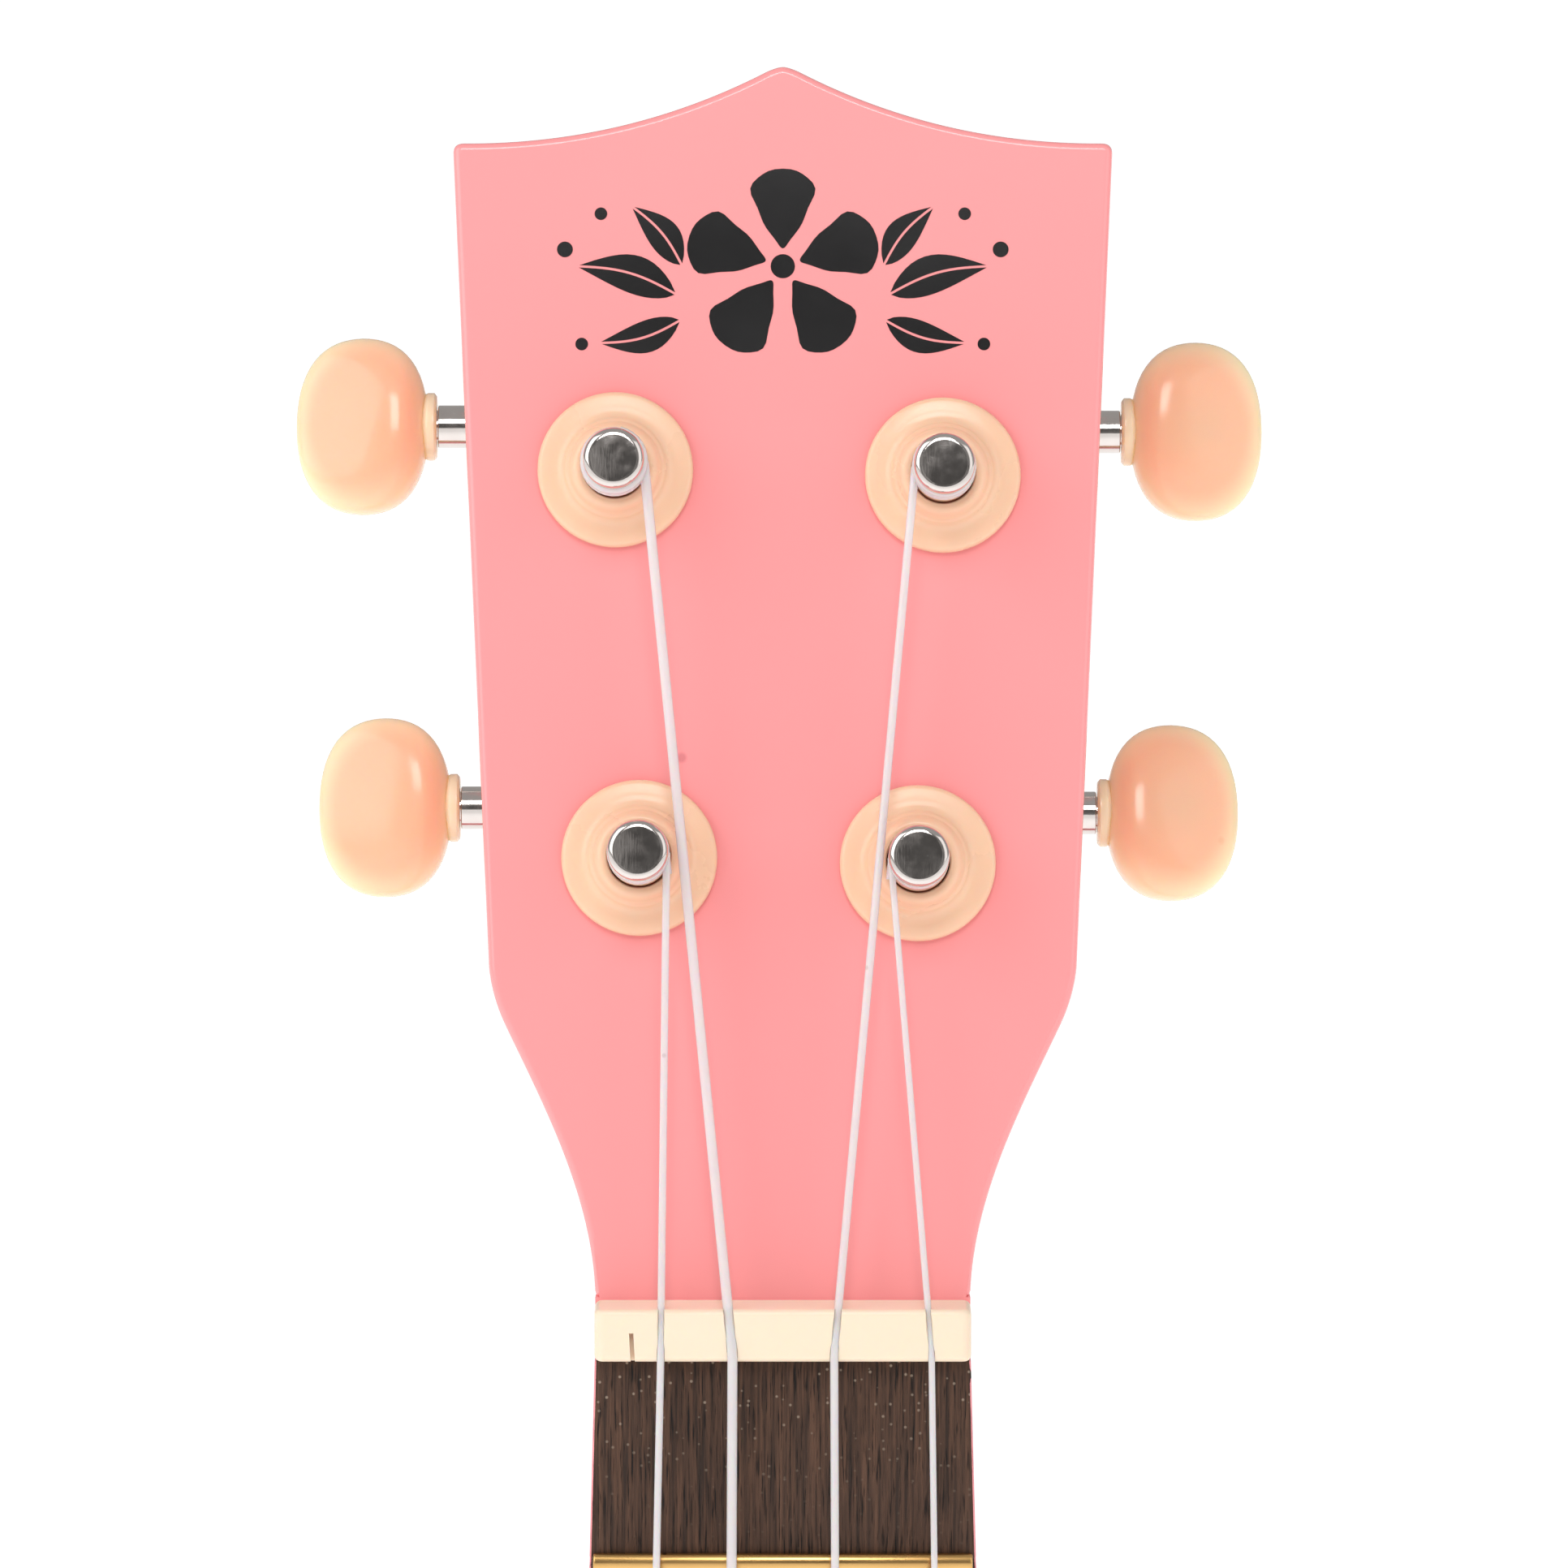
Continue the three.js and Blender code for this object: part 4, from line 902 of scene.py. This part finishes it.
def makeBushing():
    bore, sleeve, flange = bushingSizes["bore"], bushingSizes["sleeve"], bushingSizes["flange"]
    return turnedPiece("bushing", [
        (bore, -8), (sleeve, -8), (sleeve, 0.1), (flange - 0.12, 0.1), (flange, 0.24), (flange, 0.72),
        (flange - 0.06, 0.92), (flange - 0.2, 1.1), (flange - 0.42, 1.2), (6.0, 1.24), (5.5, 1.3),
        (5.16, 1.42), (4.93, 1.62), (4.8, 1.9), (4.7, 2.2), (4.58, 2.32), (4.46, 2.4), (4.36, 2.6),
        (4.22, 3.1), (4.06, 3.5),
        (3.86, 3.76), (3.6, 3.9), (3.34, 3.9), (3.12, 3.78), (bore + 0.02, 3.5), (bore, 3.3), (bore, -8),
    ], 80, bored=True)


def makePostTop():
    radius, waist, top = postSizes["radius"], postSizes["waist"], postSizes["top"]
    low, capBottom = postSizes["waistBottom"], top - postSizes["cap"]
    return turnedPiece("postTop", [
        (1.6, -13.4), (1.6, -12.6), (radius, -11.6), (radius, low - 0.5), (radius - 0.2, low - 0.2),
        (waist + 0.1, low), (waist, low + 0.15), (waist, capBottom - 0.5), (waist + 0.15, capBottom - 0.3),
        (radius - 0.2, capBottom - 0.05), (radius - 0.03, capBottom + 0.08), (radius, capBottom + 0.22),
        (radius, top - 0.62), (radius - 0.04, top - 0.42), (radius - 0.16, top - 0.22),
        (radius - 0.34, top - 0.08), (radius - 0.55, top - 0.01), (radius - 0.75, top),
    ], 64)


# Cuts off what lies past a point, along a direction, and closes the cut.
def trimPast(piece, point, direction):
    editAll(piece)
    bpy.ops.mesh.bisect(
        plane_co=point, plane_no=direction.normalized(), use_fill=True, clear_outer=True
    )


def makePost(tuner, postTop):
    name = tuner["name"]
    lower = finerCopy("post_" + name)
    place = tunerPlace(tuner, handed=False)
    # keep the wheel and pivot of the CAD post, below the new upper part
    trimPast(lower, place @ Vector((0, 0, -12.9)), place.to_3x3() @ Vector((0, 0, 1)))
    post = smoothBy(combine(settle(copyOf(postTop), place), lower, "UNION"))
    install(post, f"platedPost_{name}", chrome, ["post_" + name], f"post_{name}")


# The string's turns round the waist of the post, and its short cut end.
def makeWinding(tuner, string):
    radius = string["radius"]
    coil = postSizes["waist"] + radius + 0.04
    bottom = postSizes["waistBottom"] + radius + 0.12
    high = postSizes["top"] - postSizes["cap"] - radius - 0.1
    turns = (high - bottom) / (2 * radius + 0.04)
    steps = int(turns * 30)
    start = 0 if tuner["side"] < 0 else math.pi
    points = []
    for step in range(steps + 1):
        share = step / steps
        angle = start - tuner["side"] * math.tau * turns * share
        height = bottom + (high - bottom) * share
        points.append(Vector((coil * math.cos(angle), coil * math.sin(angle), height)))
    away = (points[0] - points[1]).normalized()
    tail = [points[0] + away * reach + Vector((0, 0, -0.02 * reach)) for reach in (1.9, 1.4, 0.9, 0.45)]
    winding = rodPiece("winding", tail + points, radius, roundness=3)
    settle(winding, tunerPlace(tuner, handed=False), 60)
    install(winding, "stringWinding_" + tuner["name"], nylon, body="post_" + tuner["name"])


def makeShaft(tuner):
    name = tuner["name"]
    shaft = finerCopy("worm_shaft_" + name)
    place = tunerPlace(tuner) @ shaftPlace
    # the smooth outer end, with a rolled shoulder at the case and a turned step under the button
    outer = movePiece(turnedPiece("shaftEnd", [
        (1.4, 5.4), (2.62, 5.5), (2.62, 7.1), (2.5, 7.28), (2.05, 7.34), (2.05, 17.2), (1.95, 17.28),
        (1.55, 17.3), (1.55, 25.4),
    ], 48))
    trimPast(shaft, place @ Vector((6.0, 0, 0)), place.to_3x3() @ Vector((1, 0, 0)))
    settle(outer, place @ Matrix.Rotation(math.pi / 2, 4, "Y"))
    smoothBy(combine(outer, shaft, "UNION"))
    install(outer, f"wormShaft_{name}", chrome, ["worm_shaft_" + name], f"knob_{name}")


# Rounded egg with a collar: a sphere shaped fuller towards its corners, joined to a turned collar.
def makeButtonBlank():
    length, height, thickness = buttonSizes["length"], buttonSizes["height"], buttonSizes["thickness"]
    start, ring = buttonSizes["start"], buttonSizes["collar"]
    neckEnd = start + buttonSizes["collarLength"]
    turnOut = Matrix.Rotation(math.pi / 2, 4, "Y")
    only()
    bpy.ops.mesh.primitive_uv_sphere_add(segments=56, ring_count=32, radius=1)
    egg = bpy.context.object
    reach = (start + length - neckEnd + 0.5) / 2
    middle = start + length - reach
    for vertex in egg.data.vertices:
        x, y, z = vertex.co.z, vertex.co.x, vertex.co.y
        side = math.hypot(y, z)
        full = 1 + 0.05 * (2 * abs(x) * side) ** 2
        deep = math.copysign(abs(z) ** 0.72, z)      # flatter faces, rolled over at the rim
        thin = 1.16 - 0.5 * max(0.0, x + 0.6)        # a wedge, thinner outward from near the collar
        vertex.co = (middle + x * reach * full, y * height / 2 * full, deep * thickness / 2 * thin)
    closeUp(egg)
    collar = turnedPiece("collar", [
        (ring - 0.3, start), (ring, start + 0.25), (ring, start + 0.85), (ring - 0.12, start + 1.08),
        (2.75, start + 1.25), (2.6, start + 1.5), (2.7, start + 2.2), (2.3, start + 4.5),
    ], 56)
    closeUp(movePiece(collar, turnOut))
    combine(egg, collar, "UNION")
    bore = turnedPiece("bore", [(1.68, start - 1), (1.68, start + length * 0.6 + 0.3)], 32)
    combine(egg, movePiece(bore, turnOut))
    # The "rim" attribute masks the painted glow of light through the thin plastic, rising towards the oval's
    # edge.
    rim = egg.data.attributes.new("rim", "FLOAT", "POINT")
    for vertex, item in zip(egg.data.vertices, rim.data):
        x, y, z = vertex.co
        flat = math.hypot((x - middle) / reach, y / (height / 2))
        item.value = max(0.0, min(1.0, (flat - 0.72) / 0.3)) ** 1.3
    return egg


def makeTuners():
    bushing, postTop, blank = makeBushing(), makePostTop(), makeButtonBlank()
    for tuner in tuners:
        name = tuner["name"]
        string = next(s for s in strings if s["name"] == name)
        ring = settle(copyOf(bushing), tunerPlace(tuner, handed=False))
        install(ring, f"peachBushing_{name}", fittingCream, ["bushing_" + name])
        makePost(tuner, postTop)
        makeWinding(tuner, string)
        makeShaft(tuner)
        turn = Matrix.Rotation(math.radians(tuner["buttonTurn"]), 4, "X")
        button = settle(copyOf(blank), tunerPlace(tuner) @ shaftPlace @ turn, 50)
        stands = ["button_" + name]
        install(button, f"ovalButton_{name}", buttonPlastic, stands, f"knob_{name}")
        case = finerCopy("housing_" + name, 0.2, 30)
        install(case, f"gearCase_{name}", fittingCream, ["housing_" + name])
        makeTunerScrew(tuner)
    for spare in (bushing, postTop, blank):
        bpy.data.objects.remove(spare)


def makeTunerScrew(tuner):
    seat = -headSizes["thickness"] - 2.4 - 0.2
    screw = movePiece(turnedPiece("screw", [
        (0.9, seat - 1.4), (1.5, seat - 1.28), (1.95, seat - 0.9), (2.15, seat - 0.5), (2.2, seat - 0.3),
        (2.2, seat), (1.0, seat), (1.0, -6.0), (0.25, -4.0),
    ], 40))
    for turned in (30, 120):
        bar = boxPiece("slotCutter", (-1.25, -0.22, seat - 2), (1.25, 0.22, seat - 0.75))
        bar.rotation_euler = (0, 0, math.radians(turned))
        combine(screw, bar)
    settle(screw, tunerPlace(tuner) @ Matrix.Translation((0, -headSizes["screwBelow"], 0)))
    name = tuner["name"]
    install(screw, f"caseScrew_{name}", screwSteel, ["tuner_screw_" + name])


makeTuners()
print("tuners are assembled")


stringRun = {"saddleY": -347.5, "saddleTop": 5.15, "slotFloor": -1.1}


def makeStrings():
    saddleY = stringRun["saddleY"]
    for string in strings:
        radius, x = string["radius"], string["saddleX"]
        post = windingStart(string)
        bend = Vector((string["nutX"], 1, nutSizes["grooveFloor"] + radius))
        over, floor = stringRun["saddleTop"] + 0.05 + radius, stringRun["slotFloor"] + radius
        ahead = (bend - post).normalized()
        path = [
            post, bend - ahead * 1.2, bend - ahead * 0.5 + Vector((0, 0, -0.02)),
            bend + Vector((0, -0.6, 0)),
        ]
        for past, height in (
            (1.4, over - 0.02), (0.4, over), (-0.5, over - 0.06), (-1.1, over - 0.3),
            (-9, floor + 0.5), (-10.5, floor), (-15.8, floor),
        ):
            path.append(Vector((x, saddleY + past, height)))
        strand = rodPiece("string", path, radius)
        knot = []
        for step in range(60):              # a stopper knot behind the bridge
            t = 2 * math.pi * step / 60
            knot.append(Vector((
                x + radius * 1.5 * (math.sin(t) + 2 * math.sin(2 * t)) / 1.6,
                saddleY - 16.0 - radius * 1.9 + radius * 1.1 * math.sin(3 * t),
                floor + radius * 1.5 * (math.cos(t) - 2 * math.cos(2 * t)) / 1.6,
            )))
        tie = rodPiece("knot", knot, radius * 0.9, closed=True, roundness=3)
        joined(strand, tie)
        settle(strand, boardPlace, 60)
        name = string["name"]
        install(strand, f"nylonString_{name}", nylon, ["string_" + name])


makeStrings()
print("strings are on")


bodySizes = {
    "length": 240.0, "upper": 128.0, "waist": 108.0, "lower": 170.0, "upperAt": 48.0, "waistAt": 102.0,
    "lowerAt": 168.0, "jointFlat": 24.0, "front": -3.5, "boardThickness": 2.0, "sidesFront": -5.6,
    "sidesBack": -61.2, "back": -63.5, "sideThickness": 2.4, "rim": 0.7, "holeY": -249.0, "holeRadius": 25.0,
    "ringInner": 28.5, "ringOuter": 32.0, "ringDepth": 0.8, "ringSunk": 0.1,
}


def bodyOutline():
    s = bodySizes
    top = neckSizes["jointY"]
    bottom = top - s["length"]
    upper, waist, lower = s["upper"] / 2, s["waist"] / 2, s["lower"] / 2
    upperY, waistY, lowerY = top - s["upperAt"], top - s["waistAt"], top - s["lowerAt"]
    pull1, pull2 = (upperY - waistY) * 0.45, (waistY - lowerY) * 0.42
    shoulder = (s["jointFlat"] + 18, top), (upper, top - s["upperAt"] * 0.52), (upper, upperY)
    waistIn = (upper, upperY - pull1), (waist, waistY + pull1), (waist, waistY)
    waistOut = (waist, waistY - pull2), (lower, lowerY + pull2), (lower, lowerY)
    tail = (lower, lowerY - (lowerY - bottom) * 0.58), (s["lower"] * 0.28, bottom), (0, bottom)
    points = [(0.0, top), (s["jointFlat"], top)]
    for bend, steps in ((shoulder, 24), (waistIn, 16), (waistOut, 20), (tail, 30)):
        points += bezierPoints(points[-1], *bend, steps)
    return bothHalves(points)


def movedIn(outline, inset):
    moved = []
    count = len(outline)
    for i in range(count):
        before, here, after = (Vector(outline[(i + k) % count]) for k in (-1, 0, 1))
        along = (after - before).normalized()
        inward = Vector((along.y, -along.x))
        moved.append(tuple(here + inward * inset))
    return moved


# Marks the faces on the inside of the body, which are not painted.
def leaveBare(piece, facesInside):
    bare = piece.data.attributes.new("bare", "FLOAT", "CORNER")
    for face in piece.data.polygons:
        value = 1.0 if facesInside(face.center, face.normal) else 0.0
        for corner in face.loop_indices:
            bare.data[corner].value = value


def makeBody():
    s = bodySizes
    outline = bodyOutline()
    board = cutPiece("soundboardBlank", outline, s["front"] - s["boardThickness"], s["front"])
    roundEdges(board, s["rim"], 3, 50)
    hole = turnedPiece("holeCutter", [(s["holeRadius"], -12), (s["holeRadius"], 5)], 120)
    hole.location.y += s["holeY"]
    combine(board, hole)
    inner, outer, floor = s["ringInner"], s["ringOuter"], s["front"] - s["ringDepth"]
    groove = turnedPiece("grooveCutter", [
        (inner - 0.1, floor - 0.1), (outer + 0.1, floor - 0.1), (outer + 0.1, 3), (inner - 0.1, 3),
        (inner - 0.1, floor - 0.1),
    ], 120, bored=True)
    groove.location.y += s["holeY"]
    combine(board, groove)
    flatFacesFirst(settle(board, boardPlace))
    leaveBare(board, lambda centre, normal: normal.y > 0.9)
    install(board, "paintedSoundboard", bodyPaint, ["soundboard"])

    face = s["front"] - s["ringSunk"]
    ring = turnedPiece("ring", [
        (inner, floor), (outer, floor), (outer, face - 0.04), (outer - 0.06, face), (inner + 0.06, face),
        (inner, face - 0.04), (inner, floor),
    ], 120, bored=True)
    ring.location.y += s["holeY"]
    settle(ring, boardPlace)
    ringPrint = makeRingFinish((0, -s["front"] * mm, s["holeY"] * mm), inner * mm, outer * mm)
    install(ring, "printedRosette", ringPrint, ["rosette"])

    sides = cutPiece("sidesBlank", outline, s["sidesBack"], s["sidesFront"])
    inside = movedIn(outline, s["sideThickness"])
    combine(sides, cutPiece("hollow", inside, s["sidesBack"] - 5, s["sidesFront"] + 5))
    roundEdges(sides, 0.35, 2, 60)
    flatFacesFirst(settle(sides, boardPlace))
    middle = Vector((0, 0, (neckSizes["jointY"] - s["length"] / 2) * mm))
    leaveBare(sides, lambda centre, normal: abs(normal.y) < 0.7 and (centre - middle).dot(normal) < 0)
    install(sides, "paintedSides", bodyPaint, ["sides"])

    back = cutPiece("backBlank", outline, s["back"], s["sidesBack"] - 0.1)
    roundEdges(back, s["rim"], 3, 50)
    flatFacesFirst(settle(back, boardPlace))
    leaveBare(back, lambda centre, normal: normal.y < -0.9)
    install(back, "paintedBack", bodyPaint, ["back"])


def makeInnerPieces():
    for node in (
        "front_lining", "back_lining", "neck_block", "tail_block", "upper_brace", "lower_brace",
        "bridge_plate",
    ):
        first, last = node.split("_")
        piece = finerCopy(node, 0.0 if last == "lining" else 0.3)
        install(piece, first + last.capitalize() + "Wood", paleWood, [node])
    install(finerCopy("neck_screw", 0.1), "neckJointScrew", screwSteel, ["neck_screw"])
    install(finerCopy("bridge", 0.45, 35, 3, 45), "darkBridge", darkWood, ["bridge"])
    install(finerCopy("saddle", 0.15, 50, 2, 60), "creamSaddle", nutCream, ["saddle"])


makeBody()
makeInnerPieces()
print("body is closed")


printSizes = {
    "middleY": 97.4, "heart": 1.15, "petals": 5, "petalReach": 7.6, "petalWidth": 4.2, "rise": 0.03,
    "leaves": [      # length, half width, angle, x, y, bow
        (9.4, 1.7, 16, 10.2, -2.6, 0.7), (7.0, 1.4, 50, 9.6, 0.2, 0.5), (7.6, 1.4, -16, 9.8, -5.2, -0.6),
    ],
    "berries": [(20.6, 1.6, 0.75), (17.2, 5.0, 0.6), (19.0, -7.4, 0.6)],      # x, y, radius
}


def petalOutline(reach, width, steps=36):
    points = []
    for step in range(steps):
        turn = 2 * math.pi * step / steps
        points.append((
            reach * (1 - math.cos(turn)) / 2,
            width * math.sin(turn) * (0.6 - 0.4 * math.cos(turn)) * (1 + 0.06 * math.cos(6 * turn)),
        ))
    return points


# One half of a leaf, so that a pair leaves a thin vein between them.
def halfLeaf(reach, width, bow, side, steps=14):
    edge, vein = [], []
    for step in range(steps + 1):
        t = step / steps
        middle = bow * math.sin(math.pi * t)
        edge.append((t * reach, middle + side * (0.12 + width * math.sin(math.pi * t ** 0.8))))
        vein.append((t * reach, middle + side * 0.12))
    return edge + vein[::-1][1:-1]


def disc(radius, steps=24):
    turns = [math.tau * step / steps for step in range(steps)]
    return [(radius * math.cos(turn), radius * math.sin(turn)) for turn in turns]


def printShape(outline, place):
    shape = cutPiece("printShape", outline, -0.01, printSizes["rise"])
    closeUp(movePiece(shape, place))
    return shape


def makePrint():
    middle = Matrix.Translation((0, printSizes["middleY"], 0))
    shapes = [printShape(disc(printSizes["heart"]), middle)]
    for petal in range(printSizes["petals"]):
        turn = Matrix.Rotation(math.radians(90 + petal * 360 / printSizes["petals"]), 4, "Z")
        outline = petalOutline(printSizes["petalReach"], printSizes["petalWidth"])
        shapes.append(printShape(outline, middle @ turn @ Matrix.Translation((1.7, 0, 0))))
    for side in (1, -1):
        flip = Matrix.Scale(side, 4, Vector((1, 0, 0)))
        for reach, width, angle, x, y, bow in printSizes["leaves"]:
            turn = Matrix.Translation((x, y, 0)) @ Matrix.Rotation(math.radians(angle), 4, "Z")
            for half in (1, -1):
                shapes.append(printShape(halfLeaf(reach, width, bow, half), middle @ flip @ turn))
        for x, y, radius in printSizes["berries"]:
            shapes.append(printShape(disc(radius), middle @ Matrix.Translation((side * x, y, 0))))
    flower = joined(*shapes)
    settle(flower, headPlace, 30)
    install(flower, "printedFlower", printInk)


makePrint()
print("flower print is on the head")
